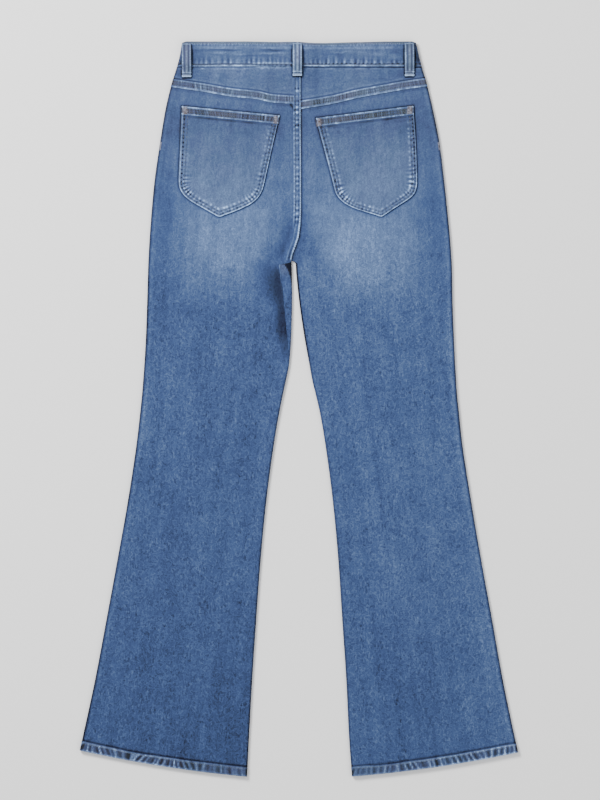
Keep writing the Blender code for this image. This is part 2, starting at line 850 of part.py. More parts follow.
def build_pocket(side, group, material):
    if side < 0:
        outer, centre, bottom = LEFT_POCKET_SIDE, LEFT_POCKET_CENTRE, LEFT_POCKET_BOTTOM
    else:
        outer, centre, bottom = RIGHT_POCKET_SIDE, RIGHT_POCKET_CENTRE, RIGHT_POCKET_BOTTOM
    columns = len(POCKET_COLUMNS) - 1
    rows = 7

    def read(table, t):
        return Vector((curve(table, t, 1), curve(table, t, 2)))

    def surface(u, v):
        s = along(POCKET_COLUMNS, u)
        top = read(outer, 0.0).lerp(read(centre, 0.0), s)
        low = read(bottom, s)
        length = (low - top).length
        marks = (0.0, POCKET_HEM / length, (POCKET_HEM + 0.6) / length)
        start = marks[2]
        rest = tuple(mix(start, 1.0, (i + 1) / (rows - 2)) for i in range(rows - 2))
        t = along(marks + rest, v)
        edges = read(outer, t).lerp(read(centre, t), s)
        corners = read(outer, 0.0).lerp(read(centre, 0.0), s).lerp(
            read(outer, 1.0).lerp(read(centre, 1.0), s), t)
        flat = top.lerp(low, t) + edges - corners
        z = back_height(side, flat.x, flat.y) + GAP + WALL
        return Vector((flat.x, HALF_LENGTH - flat.y, z))

    def raised(u, v):
        return RAISED if v <= 1 else 0.0

    name = "back_pocket_left" if side < 0 else "back_pocket_right"
    return cloth_piece(name, group, material, columns, rows, surface, 1, WALL, raised, none_raised)


LOOP_ROWS = (0.0, 0.05, 0.1, 0.16, 0.24, 0.32, 0.44, 0.56, 0.66, 0.74, 0.81, 0.88, 1.0)


def build_back_loop(entry, group, material):
    name, top_x, low_x, width, top_down, low_down = entry
    rows = len(LOOP_ROWS) - 1
    length = low_down - top_down

    def ground(x, down):
        x = min(max(x, outer_edge(-1, down) + 9.0), outer_edge(1, down) - 9.0)
        if down <= BAND_HEIGHT + GAP:
            return band_height(x, down)
        side = -1 if x < 2.0 else 1
        centre = RAISED if abs(x) < 20.0 else 0.0
        return back_height(side, x, down) + centre

    def surface(u, v):
        t = along(LOOP_ROWS, v)
        down = top_down + t * length
        middle = mix(top_x, low_x, t)
        x = middle + (u - 1.0) * 0.5 * width
        seat = 0.45
        on_band = ground(middle, min(down, BAND_HEIGHT))
        on_yoke = ground(middle, max(down, BAND_HEIGHT + 2.0))
        rise = smooth((t - 0.1) / 0.17)
        fall = smooth((down - BAND_HEIGHT + 5.0) / 13.0)
        z = mix(on_band + seat + (LOOP_GAP - seat) * rise, on_yoke + seat, fall)
        return Vector((x, HALF_LENGTH - down, z + LOOP_THICKNESS))

    return cloth_piece(name, group, material, 2, rows, surface, 1, LOOP_THICKNESS,
                       none_raised, none_raised)


def build_front_loop(side, group, material):
    x = side * FRONT_LOOP_X
    start = front_dip(x) + 2.0
    columns = 2
    rows = 6

    def surface(u, v):
        down = start + FRONT_LOOP_LENGTH * v / rows
        across = x + (u / columns - 0.5) * FRONT_LOOP_WIDTH
        return Vector((across, HALF_LENGTH - down, 0.0))

    name = "belt_loop_front_left" if side < 0 else "belt_loop_front_right"
    return cloth_piece(name, group, material, columns, rows, surface, -1, LOOP_THICKNESS,
                       none_raised, none_raised)


def build_button(group, material):
    bm = bmesh.new()
    bmesh.ops.create_cone(bm, cap_ends=True, segments=32, radius1=BUTTON_RADIUS * MM,
                          radius2=BUTTON_RADIUS * MM, depth=BUTTON_HEIGHT * MM)
    rims = [edge for edge in bm.edges if abs(edge.verts[0].co.z - edge.verts[1].co.z) < 1e-7]
    bmesh.ops.bevel(bm, geom=rims, offset=0.5 * MM, segments=2, profile=0.5, affect="EDGES")
    middle = Vector((BUTTON_X, HALF_LENGTH - BUTTON_DOWN, 0.5 * BUTTON_HEIGHT)) * MM
    bmesh.ops.translate(bm, verts=bm.verts[:], vec=middle)
    return finish_mesh(bm, "front_button", group, material, True)


def build():
    for item in list(bpy.data.objects):
        bpy.data.objects.remove(item, do_unlink=True)
    group = collection_for(NAME)
    helpers = collection_for("helpers")
    denim = make_material("denim", DENIM, 0.85, 0.0)
    trim = make_material("denim_trim", DENIM_TRIM, 0.85, 0.0)
    metal = make_material("button_metal", BUTTON_METAL, 0.4, 1.0)
    for side in (-1, 1):
        build_front_leg(side, group, helpers, denim)
        build_pocket_facing(side, group, denim)
        build_back_leg(side, group, denim)
        build_yoke(side, group, denim)
        build_pocket(side, group, denim)
        build_front_loop(side, group, trim)
    build_waistband(group, denim)
    for entry in BACK_LOOPS:
        build_back_loop(entry, group, trim)
    build_button(group, metal)


build()
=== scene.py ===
import math

import bmesh
import bpy
import numpy as np
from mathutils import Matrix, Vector
from mathutils.bvhtree import BVHTree


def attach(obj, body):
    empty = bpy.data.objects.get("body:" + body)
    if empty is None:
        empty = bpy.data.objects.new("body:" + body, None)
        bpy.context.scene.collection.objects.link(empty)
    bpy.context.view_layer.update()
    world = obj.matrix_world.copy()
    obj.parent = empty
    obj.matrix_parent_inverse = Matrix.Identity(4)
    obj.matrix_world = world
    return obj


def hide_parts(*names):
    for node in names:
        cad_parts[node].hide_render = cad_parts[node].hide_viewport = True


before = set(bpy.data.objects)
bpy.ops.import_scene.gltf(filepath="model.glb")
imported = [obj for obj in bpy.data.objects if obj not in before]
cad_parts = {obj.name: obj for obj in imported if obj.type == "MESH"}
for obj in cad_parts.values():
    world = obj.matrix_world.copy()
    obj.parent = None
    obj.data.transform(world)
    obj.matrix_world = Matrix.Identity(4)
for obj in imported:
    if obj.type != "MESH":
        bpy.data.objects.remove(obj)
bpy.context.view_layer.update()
print("frame loaded")

# the pair's own sizes in mm; "down" is measured from the waistband's upper edge at the back
garment = {
    "halfLength": 551.25,
    "wall": 1.2,
    "gap": 0.3,
    "raised": 1.0,
    "sideRadius": 2.5,
    "waistRadius": 2.9,
    "sag": 0.5,
    "bandHeight": 37.2,
    "hemHeight": 12.6,
    "hemBow": 4.3,
    "frontDip": 10.0,
    "dipReach": 176.0,
    "crotchClosed": 328.8,
    "crotchOpen": 331.2,
    "overlapX": -17.0,  # the middle of where the waistband's front ends lie double
    "mouthMiddle": 187.0,  # a front pocket's mouth is a quarter of an ellipse
    "mouthAcross": 84.0,
    "mouthDeep": 75.0,
}

# the button and the front loops lift the cloth above them: where they are, how high, how far
lifts = {
    "buttonX": -15.0,
    "buttonDown": 28.0,
    "buttonHigh": 2.8,
    "buttonReach": (11.0, 38.0),
    "loopX": 64.0,
    "loopEnd": 66.0,
    "loopHigh": 2.3,
    "loopReach": (12.0, 22.0),
}

# down, left outer, left inner, right inner, right outer
sections = (
    (0.0, -175.4, 2.2, 2.2, 175.6),
    (18.0, -178.4, 2.2, 2.2, 179.2),
    (36.0, -182.8, 2.2, 2.2, 183.8),
    (64.0, -191.4, 2.2, 2.2, 191.9),
    (103.0, -200.7, 2.2, 2.2, 201.2),
    (148.0, -208.1, 2.4, 2.4, 210.2),
    (208.0, -216.8, 2.8, 2.8, 217.8),
    (238.0, -219.8, 2.8, 2.8, 221.1),
    (268.0, -222.3, 2.2, 2.2, 224.1),
    (291.0, -224.0, -0.2, -0.2, 226.3),
    (306.0, -224.9, -4.8, -4.8, 227.5),
    (318.0, -225.6, -9.2, -9.2, 228.3),
    (328.8, -226.1, -11.2, -11.2, 229.0),
    (331.2, -226.2, -11.2, -5.3, 229.2),
    (345.0, -226.7, -10.8, -4.4, 229.6),
    (388.0, -227.9, -10.4, 0.0, 230.4),
    (440.0, -229.7, -11.6, 7.5, 232.3),
    (485.0, -232.2, -15.0, 15.6, 234.4),
    (508.0, -233.9, -19.5, 19.8, 235.8),
    (530.0, -235.7, -24.2, 25.1, 237.3),
    (553.0, -238.1, -28.8, 30.5, 239.7),
    (598.0, -243.2, -36.6, 38.4, 244.4),
    (688.0, -256.7, -48.8, 50.4, 258.2),
    (778.0, -272.7, -57.6, 58.8, 273.5),
    (868.0, -289.2, -64.2, 64.8, 290.0),
    (958.0, -306.2, -70.2, 70.8, 306.0),
    (1048.0, -325.6, -75.2, 75.3, 324.8),
    (1103.0, -337.5, -78.0, 79.5, 337.4),
)

# down, how far the left inside leg seam lies on top of the fold
leftRoll = (
    (328.8, 0.0),
    (331.2, 3.0),
    (335.0, 19.0),
    (345.0, 18.0),
    (370.0, 15.5),
    (400.0, 13.0),
    (425.0, 10.0),
    (455.0, 6.0),
    (485.0, 0.0),
)

# x across, down: the seam between yoke and leg
leftYokeSeam = (
    (-190.5, 68.4),
    (-144.1, 75.2),
    (-101.4, 82.5),
    (-61.2, 87.0),
    (-41.1, 91.4),
    (2.2, 94.2),
)
rightYokeSeam = (
    (2.2, 101.6),
    (51.2, 93.3),
    (87.0, 84.8),
    (122.9, 78.2),
    (158.7, 71.8),
    (190.5, 67.3),
)

# outer down, inner down of the rows below the yoke
legRows = (
    (100.0, 120.0), (138.0, 154.0), (178.0, 189.0), (218.0, 225.0), (255.0, 259.0),
    (285.0, 287.0), (305.0, 306.0), (318.0, 318.5), (328.8, 328.8), (331.2, 331.2),
    (335.0, 335.0), (345.0, 345.0), (362.0, 362.0), (388.0, 388.0), (416.0, 416.0),
    (444.0, 444.0), (468.0, 468.0), (492.0, 492.0), (518.0, 518.0), (546.0, 546.0),
    (584.0, 585.0), (634.0, 637.0), (690.0, 696.0), (748.0, 758.0), (808.0, 823.0),
    (868.0, 889.0), (928.0, 955.0), (985.0, 1018.0), (1026.0, 1063.0),
)

# x start, down start, x end, down end, half width, height of the large soft folds
largeFolds = (
    (-6.0, 262.0, -30.0, 331.0, 9.0, -1.5),
    (-30.0, 331.0, -24.0, 452.0, 10.0, -1.5),
    (-58.0, 285.0, -50.0, 420.0, 16.0, 0.6),
    (26.0, 296.0, 40.0, 376.0, 11.0, -0.8),
    (14.0, 330.0, 30.0, 470.0, 11.0, 0.5),
    (66.0, 425.0, 80.0, 535.0, 14.0, -0.7),
    (-130.0, 426.0, -76.0, 440.0, 14.0, -0.5),
    (-112.0, 170.0, -112.0, 310.0, 62.0, 0.8),
    (112.0, 170.0, 116.0, 310.0, 62.0, 0.8),
    (-128.0, 520.0, -176.0, 980.0, 34.0, 0.8),
    (-206.0, 640.0, -246.0, 1020.0, 24.0, -0.6),
    (-92.0, 600.0, -112.0, 900.0, 22.0, -0.5),
    (132.0, 560.0, 186.0, 1000.0, 36.0, 0.8),
    (98.0, 620.0, 122.0, 1020.0, 24.0, -0.6),
    (226.0, 700.0, 262.0, 1010.0, 22.0, -0.4),
)


mm = 0.001  # metres in one millimetre of the tables


def smooth(value):
    t = np.clip(value, 0.0, 1.0)
    return t * t * (3.0 - 2.0 * t)


def mix(a, b, t):
    return a + (b - a) * t


def bump(value, centre, width):
    return np.exp(-((value - centre) / width) ** 2)


def curve(rows, key, column):  # smooth curve through a column of a table
    table = np.array(rows, dtype=float)
    keys = table[:, 0]
    values = table[:, column]
    step = np.diff(values) / np.diff(keys)
    before = np.concatenate((step[:1], step))
    after = np.concatenate((step, step[-1:]))
    product = before * after
    total = np.where(before + after == 0.0, 1.0, before + after)
    slope = np.where(product > 0.0, 2.0 * product / total, 0.0)
    key = np.clip(np.asarray(key, dtype=float), keys[0], keys[-1])
    i = np.clip(np.searchsorted(keys, key, side="left") - 1, 0, len(keys) - 2)
    span = keys[i + 1] - keys[i]
    t = (key - keys[i]) / span
    back = (1.0 + 2.0 * t) * (1.0 - t) ** 2 * values[i] + t * (1.0 - t) ** 2 * span * slope[i]
    fore = t * t * (3.0 - 2.0 * t) * values[i + 1] + t * t * (t - 1.0) * span * slope[i + 1]
    return back + fore


def outerEdge(side, down):
    return curve(sections, down, 1 if side < 0 else 4)


def innerEdge(side, down):
    return curve(sections, down, 2 if side < 0 else 3)


def frontInnerEdge(side, down):
    return mix(0.0, innerEdge(side, down), smooth((down - 235.0) / 75.0))


def turnAngle(down):
    return 0.5 * math.pi * smooth((down - 296.0) / 32.0)


def edgeRadius(down):
    toSide = smooth((down - garment["bandHeight"]) / 50.0)
    return mix(garment["waistRadius"], garment["sideRadius"], toSide)


def dipOfFront(x):
    reach = garment["dipReach"]
    dip = garment["frontDip"] * np.cos(0.5 * math.pi * x / reach) ** 2
    return np.where(np.abs(x) > reach, 0.0, dip)


def liftOver(x, down):  # cloth over the button and the front loops
    flat, slope = lifts["buttonReach"]
    reach = np.hypot(x - lifts["buttonX"], down - lifts["buttonDown"])
    total = lifts["buttonHigh"] * (1.0 - smooth((reach - flat) / slope))
    flat, slope = lifts["loopReach"]
    for centre in (-lifts["loopX"], lifts["loopX"]):
        across = np.maximum(np.abs(x - centre) - flat, 0.0)
        below = np.maximum(down - lifts["loopEnd"], 0.0)
        total = total + lifts["loopHigh"] * (1.0 - smooth(np.hypot(across, below) / slope))
    return total


def overlapAt(x):
    return 1.0 - smooth((np.abs(x - garment["overlapX"]) - 30.0) / 30.0)


def foldsAt(x, down, rows):  # soft ridges and hollows along straight lines
    total = np.zeros(np.broadcast(x, down).shape)
    for x0, d0, x1, d1, halfWidth, height in rows:
        dx = x1 - x0
        dd = d1 - d0
        length = math.hypot(dx, dd)
        t = ((x - x0) * dx + (down - d0) * dd) / (length * length)
        off = np.abs((x - x0) * dd - (down - d0) * dx) / length
        end = np.minimum(t, 1.0 - t) * length
        total += height * np.exp(-(off / halfWidth) ** 2) * smooth(0.5 + end / (2.0 * halfWidth))
    return total


def edgeShare(side, x, down, width):  # 0 at the panel's edges, 1 further in
    radius = edgeRadius(down)
    share = smooth((np.abs(x - outerEdge(side, down)) - radius) / width)
    inside = smooth((np.abs(x - innerEdge(side, down)) - radius) / width)
    return share * mix(1.0, inside, smooth((down - 300.0) / 29.0))


def hashAt(ix, iy, seed):
    n = (ix * 374761393 + iy * 668265263 + seed * 974634777) & 0x7FFFFFFF
    n = ((n ^ (n >> 13)) * 1274126177) & 0x7FFFFFFF
    return ((n ^ (n >> 16)) & 0xFFFF) / 65535.0


def softNoise(x, y, seed):
    ix = np.floor(x).astype(np.int64)
    iy = np.floor(y).astype(np.int64)
    fx = smooth(x - ix)
    fy = smooth(y - iy)
    low = mix(hashAt(ix, iy, seed), hashAt(ix + 1, iy, seed), fx)
    high = mix(hashAt(ix, iy + 1, seed), hashAt(ix + 1, iy + 1, seed), fx)
    return 2.0 * mix(low, high, fy) - 1.0


def lineNoise(along, length, seed, row=0.0):
    return softNoise(along / length, along * 0.0 + row, seed)


# small creases that only show close up: x start, down start, x end, down end, half width, height
smallFolds = (
    (-14.0, 268.0, -44.0, 318.0, 5.0, -0.35),
    (-13.5, 93.0, -6.0, 104.0, 1.8, -0.35),
    (-40.0, 322.0, -52.0, 402.0, 6.0, -0.4),
    (-22.0, 232.0, -34.0, 300.0, 5.0, 0.3),
    (-70.0, 338.0, -40.0, 352.0, 7.0, -0.25),
    (10.0, 300.0, 20.0, 372.0, 4.0, -0.35),
    (40.0, 300.0, 58.0, 330.0, 6.0, -0.3),
    (52.0, 470.0, 120.0, 462.0, 9.0, -0.25),
    (-60.0, 505.0, -120.0, 498.0, 10.0, -0.25),
    (-214.0, 232.0, -190.0, 290.0, 7.0, -0.25),
    (214.0, 226.0, 196.0, 282.0, 7.0, -0.25),
    (-150.0, 640.0, -118.0, 700.0, 12.0, 0.25),
    (150.0, 742.0, 172.0, 800.0, 12.0, -0.25),
)


def backHeight(side, x, down):  # upper face of the back panels
    z = 2.0 * edgeRadius(down) - garment["sag"] * edgeShare(side, x, down, 22.0)
    z = z + foldsAt(x, down, largeFolds) * edgeShare(side, x, down, 14.0)
    z = z + 1.8 * overlapAt(x) * (1.0 - smooth((down - 48.0) / 30.0))
    return z + liftOver(x, down)


def bandHeightAt(x, down):  # upper face of the waistband
    left = x - outerEdge(-1, down)
    right = outerEdge(1, down) - x
    z = 7.0 - 0.7 * smooth((np.minimum(left, right) - 3.5) / 40.0)
    z = z + 2.2 * overlapAt(x)
    return z + liftOver(x, down)


def fineRelief(x, down, strength):  # slack of washed cloth
    wave = 0.16 * softNoise(x / 34.0, down / 58.0, 11) + 0.09 * softNoise(x / 13.0, down / 26.0, 12)
    return strength * wave


def yokeSeamDown(side, x):
    return curve(leftYokeSeam if side < 0 else rightYokeSeam, x, 1)


def yokeEnds(side):
    return (68.4, 94.2) if side < 0 else (67.3, 101.6)


def hemEnds(side):
    return (1063.4, 1102.8) if side < 0 else (1066.2, 1102.6)


def denseRows(table, pitches):  # table columns: outer down, inner down, then bow shares
    places = [0.0]
    for i in range(len(table) - 1):
        reach = max(table[i + 1][0] - table[i][0], table[i + 1][1] - table[i][1])
        count = max(1, int(math.ceil(reach / pitches(table[i][0]))))
        places.extend(i + (k + 1) / count for k in range(count))
    places = np.array(places)
    index = np.arange(len(table))
    return [np.interp(places, index, [row[c] for row in table]) for c in range(len(table[0]))]


def rowSet(side, face, columns):
    outerDown, innerDown, yokeShare, hemShare, dipShare = [c[:, None] for c in columns]
    angle = np.maximum(turnAngle(innerDown), 0.001)
    edge = innerEdge(side, innerDown) if face > 0 else frontInnerEdge(side, innerDown)
    shut = garment["crotchClosed"]
    closed = 1.0 - smooth((innerDown - shut) / (garment["crotchOpen"] - shut))
    outerX = outerEdge(side, outerDown)
    innerX = edge + side * 0.5 * garment["gap"] * np.sin(angle) * closed
    outerRadius = edgeRadius(outerDown)
    innerRadius = edgeRadius(innerDown)
    turnLength = 0.5 * math.pi * innerRadius
    bend = angle / turnLength
    return {
        "side": side, "face": face, "outerDown": outerDown, "innerDown": innerDown,
        "yokeShare": yokeShare, "hemShare": hemShare, "dipShare": dipShare,
        "outerX": outerX, "innerX": innerX, "width": np.abs(innerX - outerX),
        "outerRadius": outerRadius, "innerRadius": innerRadius,
        "turnLength": turnLength, "bend": bend, "turnWidth": np.sin(angle) / bend,
        "roll": curve(leftRoll, innerDown, 1) if side < 0 else 0.0 * innerDown,
    }


def bowAt(row, share):
    side = row["side"]
    ends = yokeEnds(side)
    bow = 0.0
    if np.any(row["yokeShare"] > 0.0):
        x = mix(side * 190.5, 2.2, share)
        bow = bow + row["yokeShare"] * (yokeSeamDown(side, x) - mix(ends[0], ends[1], share))
    if np.any(row["dipShare"] > 0.0):
        x = mix(side * 183.0, 0.0, share)
        bow = bow + row["dipShare"] * (dipOfFront(x) - garment["frontDip"] * share)
    return bow + row["hemShare"] * garment["hemBow"] * 4.0 * share * (1.0 - share)


def panelPoints(row, angles, shares, reaches):
    side = row["side"]
    radius = row["outerRadius"]
    flatZero = 0.0 * radius
    first = (radius * (1.0 - np.cos(angles)), 1.0 - np.sin(angles) + flatZero)
    parts = [(*first, row["face"] + flatZero * angles)]
    end = row["width"] - row["turnWidth"] - (np.abs(reaches[:, :1]) - row["turnLength"])
    flat = mix(radius, end, shares)
    parts.append((flat, 0.0 * flat, row["face"] + 0.0 * flat))
    off = np.abs(reaches)
    arc = row["bend"] * (row["turnLength"] - off)
    beyond = off >= row["turnLength"]
    base = row["width"] - row["turnWidth"]
    q = np.where(beyond, base - (off - row["turnLength"]), base + np.sin(arc) / row["bend"])
    share = np.where(beyond, 0.0, (1.0 - np.cos(arc)) / (row["bend"] * row["innerRadius"]))
    parts.append((q, share, np.where(reaches > 0.0, 1.0, -1.0)))
    q, heightShare, faces = [np.concatenate([p[k] for p in parts], axis=1) for k in range(3)]
    across = np.clip(q / row["width"], 0.0, 1.0)
    x = row["outerX"] - side * q
    down = mix(row["outerDown"], row["innerDown"], across) + bowAt(row, across)
    middle = mix(row["outerRadius"], row["innerRadius"], across)
    top = np.where(faces > 0.0, backHeight(side, x, down), liftOver(x, down))
    z = mix(top, middle, heightShare)
    return {
        "x": x, "down": down, "z": z, "q": q, "across": across,
        "flatness": 1.0 - heightShare, "faces": faces,
    }


def pointsOf(grid):
    return np.stack((grid["x"], garment["halfLength"] - grid["down"], grid["z"]), axis=-1)


def newItem(name, data):
    item = bpy.data.objects.new(name, data)
    bpy.context.scene.collection.objects.link(item)
    return item


def shadeSmooth(mesh):
    mesh.polygons.foreach_set("use_smooth", np.ones(len(mesh.polygons), dtype=bool))


def sided(name, side):  # "yoke" gives yokeLeft, "yoke_" gives yoke_left
    word = "Left" if side < 0 else "Right"
    return name + (word.lower() if name.endswith("_") else word)


def lineOf(x, down):
    return np.stack((x, down), 1)


def unit(v):
    return v / np.maximum(np.linalg.norm(v, axis=-1, keepdims=True), 1e-9)


def gridNormals(points, upward):
    across = np.zeros_like(points)
    along = np.zeros_like(points)
    stepA = unit(np.diff(points, axis=1))
    stepB = unit(np.diff(points, axis=0))
    across[:, 1:-1] = stepA[:, 1:] + stepA[:, :-1]
    across[:, 0] = stepA[:, 0]
    across[:, -1] = stepA[:, -1]
    along[1:-1] = stepB[1:] + stepB[:-1]
    along[0] = stepB[0]
    along[-1] = stepB[-1]
    normal = np.cross(across, along)
    middle = normal[normal.shape[0] // 2, normal.shape[1] // 2, 2]
    flip = middle * upward < 0.0
    if flip:
        normal = -normal
    normal[..., 1] = 0.0
    return unit(normal), flip


def quadsOf(index):
    corners = (index[:-1, :-1], index[:-1, 1:], index[1:, 1:], index[1:, :-1])
    return np.stack(corners, axis=-1).reshape(-1, 4)


def everyFew(count, step, keep=()):
    marks = list(range(0, count - 1, step))
    if count - 1 - marks[-1] < step / 2 and len(marks) > 1:
        marks.pop()
    return np.array(sorted(set(marks) | {count - 1} | {int(k) for k in keep}))


# a wall of cloth on a grid of points, whose hidden face has only every few of them
def shellObject(name, points, upward, wall, proud, dyeAndShade, step=3, keep=(), extraIn=0.0):
    normal, flip = gridNormals(points, upward)
    rows, columns = points.shape[:2]
    outer = points + normal * proud[..., None]
    few = np.ix_(everyFew(rows, step, keep), everyFew(columns, step))
    inner = (points - normal * (wall + extraIn + 0.0 * proud)[..., None])[few]
    total = rows * columns
    index = np.arange(total).reshape(rows, columns)
    under = total + np.arange(inner.shape[0] * inner.shape[1]).reshape(inner.shape[:2])
    faces = quadsOf(index).tolist() + quadsOf(under)[:, ::-1].tolist()
    marks = index[few]
    for side in (np.s_[0, :], np.s_[:, -1], np.s_[-1, ::-1], np.s_[::-1, 0]):  # round the rim
        rim, stops, low = index[side], marks[side], under[side]
        places = {int(v): k for k, v in enumerate(rim)}
        for k in range(len(stops) - 1):
            run = rim[places[int(stops[k])]:places[int(stops[k + 1])] + 1]
            faces.append([int(v) for v in run[::-1]] + [int(low[k]), int(low[k + 1])])
    if flip:
        faces = [face[::-1] for face in faces]
    mesh = bpy.data.meshes.new(name)
    verts = np.concatenate((outer.reshape(-1, 3), inner.reshape(-1, 3))) * mm
    mesh.from_pydata(verts.tolist(), [], faces)
    shadeSmooth(mesh)
    mesh.set_sharp_from_angle(angle=math.radians(55.0))
    paint(mesh, np.concatenate((dyeAndShade.reshape(-1, 4), dyeAndShade[few].reshape(-1, 4))))
    return newItem(name, mesh)


def paint(mesh, values):  # fade with painted crease shading, wear with painted highlights, tint, painted shade of every point
    layer = mesh.attributes.new("dyeAndShade", "FLOAT_COLOR", "POINT")
    layer.data.foreach_set("color", np.clip(values, 0.0, 1.0).astype(np.float32).ravel())


# how pale the wash is: 0 is deep blue, 1 pale blue; it also holds painted shade and painted light
# along creases, and painted shadows
wash = {
    # down, amount
    "alongLeg": (
        (0.0, 0.41), (30.0, 0.42), (44.0, 0.42), (72.0, 0.425), (100.0, 0.365), (128.0, 0.335),
        (152.0, 0.395), (190.0, 0.425), (290.0, 0.42), (400.0, 0.37), (520.0, 0.34),
        (650.0, 0.32), (800.0, 0.29), (1000.0, 0.255), (1104.0, 0.24),
    ),
    "rightGain": (
        (0.0, 0.0), (260.0, 0.0), (380.0, 0.03), (600.0, 0.03), (860.0, 0.065), (1104.0, 0.065),
    ),
    "sideLoss": (
        (0.0, 0.13), (60.0, 0.10), (120.0, 0.07), (300.0, 0.06), (430.0, 0.03), (600.0, 0.0),
        (1104.0, -0.01),
    ),
    "sideWidth": 62.0,
    # x across, down, half width, half length, amount
    "patches": (
        (-104.0, 296.0, 48.0, 50.0, 0.13),
        (-112.0, 346.0, 40.0, 36.0, 0.06),
        (-152.0, 288.0, 30.0, 40.0, 0.06),
        (-66.0, 262.0, 34.0, 40.0, 0.05),
        (84.0, 290.0, 50.0, 46.0, 0.12),
        (110.0, 346.0, 46.0, 46.0, 0.10),
        (140.0, 292.0, 36.0, 40.0, 0.06),
        (30.0, 262.0, 26.0, 44.0, 0.04),
        (-108.0, 226.0, 52.0, 34.0, 0.06),
        (112.0, 214.0, 56.0, 40.0, 0.06),
        (-204.0, 250.0, 22.0, 80.0, -0.06),
        (206.0, 258.0, 22.0, 80.0, -0.03),
        (12.0, 306.0, 22.0, 36.0, -0.10),
        (12.0, 128.0, 26.0, 34.0, -0.04),
        (160.0, 118.0, 46.0, 24.0, -0.03),
        (-34.0, 318.0, 22.0, 40.0, -0.05),
        (-52.0, 470.0, 60.0, 50.0, -0.03),
        (-212.0, 390.0, 26.0, 60.0, -0.06),
        (112.0, 408.0, 56.0, 36.0, -0.045),
        (-118.0, 408.0, 50.0, 36.0, -0.03),
        (24.0, 408.0, 18.0, 44.0, -0.025),
        (-204.0, 214.0, 18.0, 60.0, -0.03),
        (122.0, 226.0, 30.0, 22.0, 0.03),
        (24.0, 54.0, 20.0, 22.0, -0.06),
        (88.0, 54.0, 26.0, 18.0, 0.02),
        (150.0, 52.0, 30.0, 16.0, -0.05),
        (-152.0, 50.0, 22.0, 16.0, -0.05),
        (90.0, 16.0, 90.0, 16.0, 0.045),
        (290.0, 860.0, 50.0, 300.0, 0.04),
        (16.0, 190.0, 14.0, 70.0, -0.03),
        (90.0, 50.0, 110.0, 24.0, -0.02),
        (-112.0, 410.0, 60.0, 50.0, -0.025),
        (114.0, 410.0, 60.0, 50.0, -0.02),
        (136.0, 545.0, 70.0, 60.0, -0.02),
        (186.0, 940.0, 110.0, 120.0, -0.015),
        (-290.0, 860.0, 50.0, 300.0, 0.03),
    ),
    # painted shade and painted light along creases: x start, down start, x end, down end, half width,
    # amount
    "creases": (
        (-13.5, 93.0, -6.0, 104.0, 1.7, -0.30),
        (-37.0, 232.0, -30.0, 262.0, 6.0, 0.04),
        (-52.0, 250.0, -60.0, 318.0, 12.0, 0.05),
        (10.0, 250.0, 6.0, 318.0, 8.0, -0.05),
        (26.0, 330.0, 44.0, 378.0, 3.0, 0.05),
        (18.0, 300.0, 30.0, 352.0, 5.0, -0.05),
        (66.0, 278.0, 60.0, 340.0, 20.0, 0.05),
    ),
    # the same for the soft shadows beside the crotch
    "shadows": (
        (-9.0, 272.0, -30.0, 324.0, 9.0, 0.20),
        (-50.0, 334.0, -42.0, 388.0, 13.0, 0.27),
    ),
    # down, strength of the shadow on the left leg beside its inside leg seam
    "seamShade": (
        (326.0, 0.0), (340.0, 0.22), (352.0, 0.38), (395.0, 0.42), (410.0, 0.50), (432.0, 0.50),
        (448.0, 0.36), (470.0, 0.20), (500.0, 0.0),
    ),
    "grey": 0.15,
    "greyTo": (120.0, 140.0),  # full to here, then gone over this length
}


def washAndShadingAt(x, down):
    fadeAndShading = curve(wash["alongLeg"], down, 1)
    side = np.where(x < 0.0, -1, 1)
    outer = np.where(side < 0, outerEdge(-1, down), outerEdge(1, down))
    inner = np.where(side < 0, innerEdge(-1, down), innerEdge(1, down))
    off = side * (outer - x)
    fadeAndShading = fadeAndShading + np.where(side > 0, curve(wash["rightGain"], down, 1), 0.0)
    fadeAndShading = fadeAndShading - curve(wash["sideLoss"], down, 1) * (1.0 - smooth(off / wash["sideWidth"]))
    for px, pd, rx, rd, amount in wash["patches"]:
        fadeAndShading = fadeAndShading + amount * np.exp(-((x - px) / rx) ** 2 - ((down - pd) / rd) ** 2)
    # painted shade and painted light along the creases
    fadeAndShading = fadeAndShading + foldsAt(x, down, wash["creases"])
    run = 210.0 * off / np.maximum(np.abs(inner - outer), 1.0)  # streaks that widen with the leg
    fadeAndShading = fadeAndShading + 0.03 * softNoise(side * run / 8.0 + 40.0, down / 150.0, 5)
    fadeAndShading = fadeAndShading + 0.022 * softNoise(side * run / 3.2 + 90.0, down / 70.0, 6)
    clouds = 0.022 * softNoise(x / 46.0, down / 90.0, 3)
    return fadeAndShading + clouds + 0.016 * softNoise(x / 17.0, down / 44.0, 4)


def ticks(along, pitch, seed, sharp=1.6):  # uneven light and dark marks along a seam, from -1 to 1
    phase = along / pitch + 0.5 * lineNoise(along, 4.1 * pitch, seed, 7.0)
    wave = np.tanh(sharp * np.sin(2.0 * math.pi * phase)) / math.tanh(sharp)
    return wave * np.clip(0.72 + 0.5 * lineNoise(along, 1.7 * pitch, seed + 1, 3.0), 0.1, 1.2)


def marks(along, pitch, width, seed, jitter=0.3):  # single bumps at uneven places, uneven in strength
    total = 0.0 * along
    first = np.floor(along / pitch).astype(np.int64)
    for step in (-1, 0, 1):
        k = first + step
        centre = (k + 0.5 + jitter * (2.0 * hashAt(k, 0 * k, seed) - 1.0)) * pitch
        spread = width * (0.75 + 0.5 * hashAt(k, 0 * k + 1, seed))
        strength = 0.45 + 0.75 * hashAt(k, 0 * k + 2, seed)
        total = total + strength * bump(along, centre, spread)
    return total


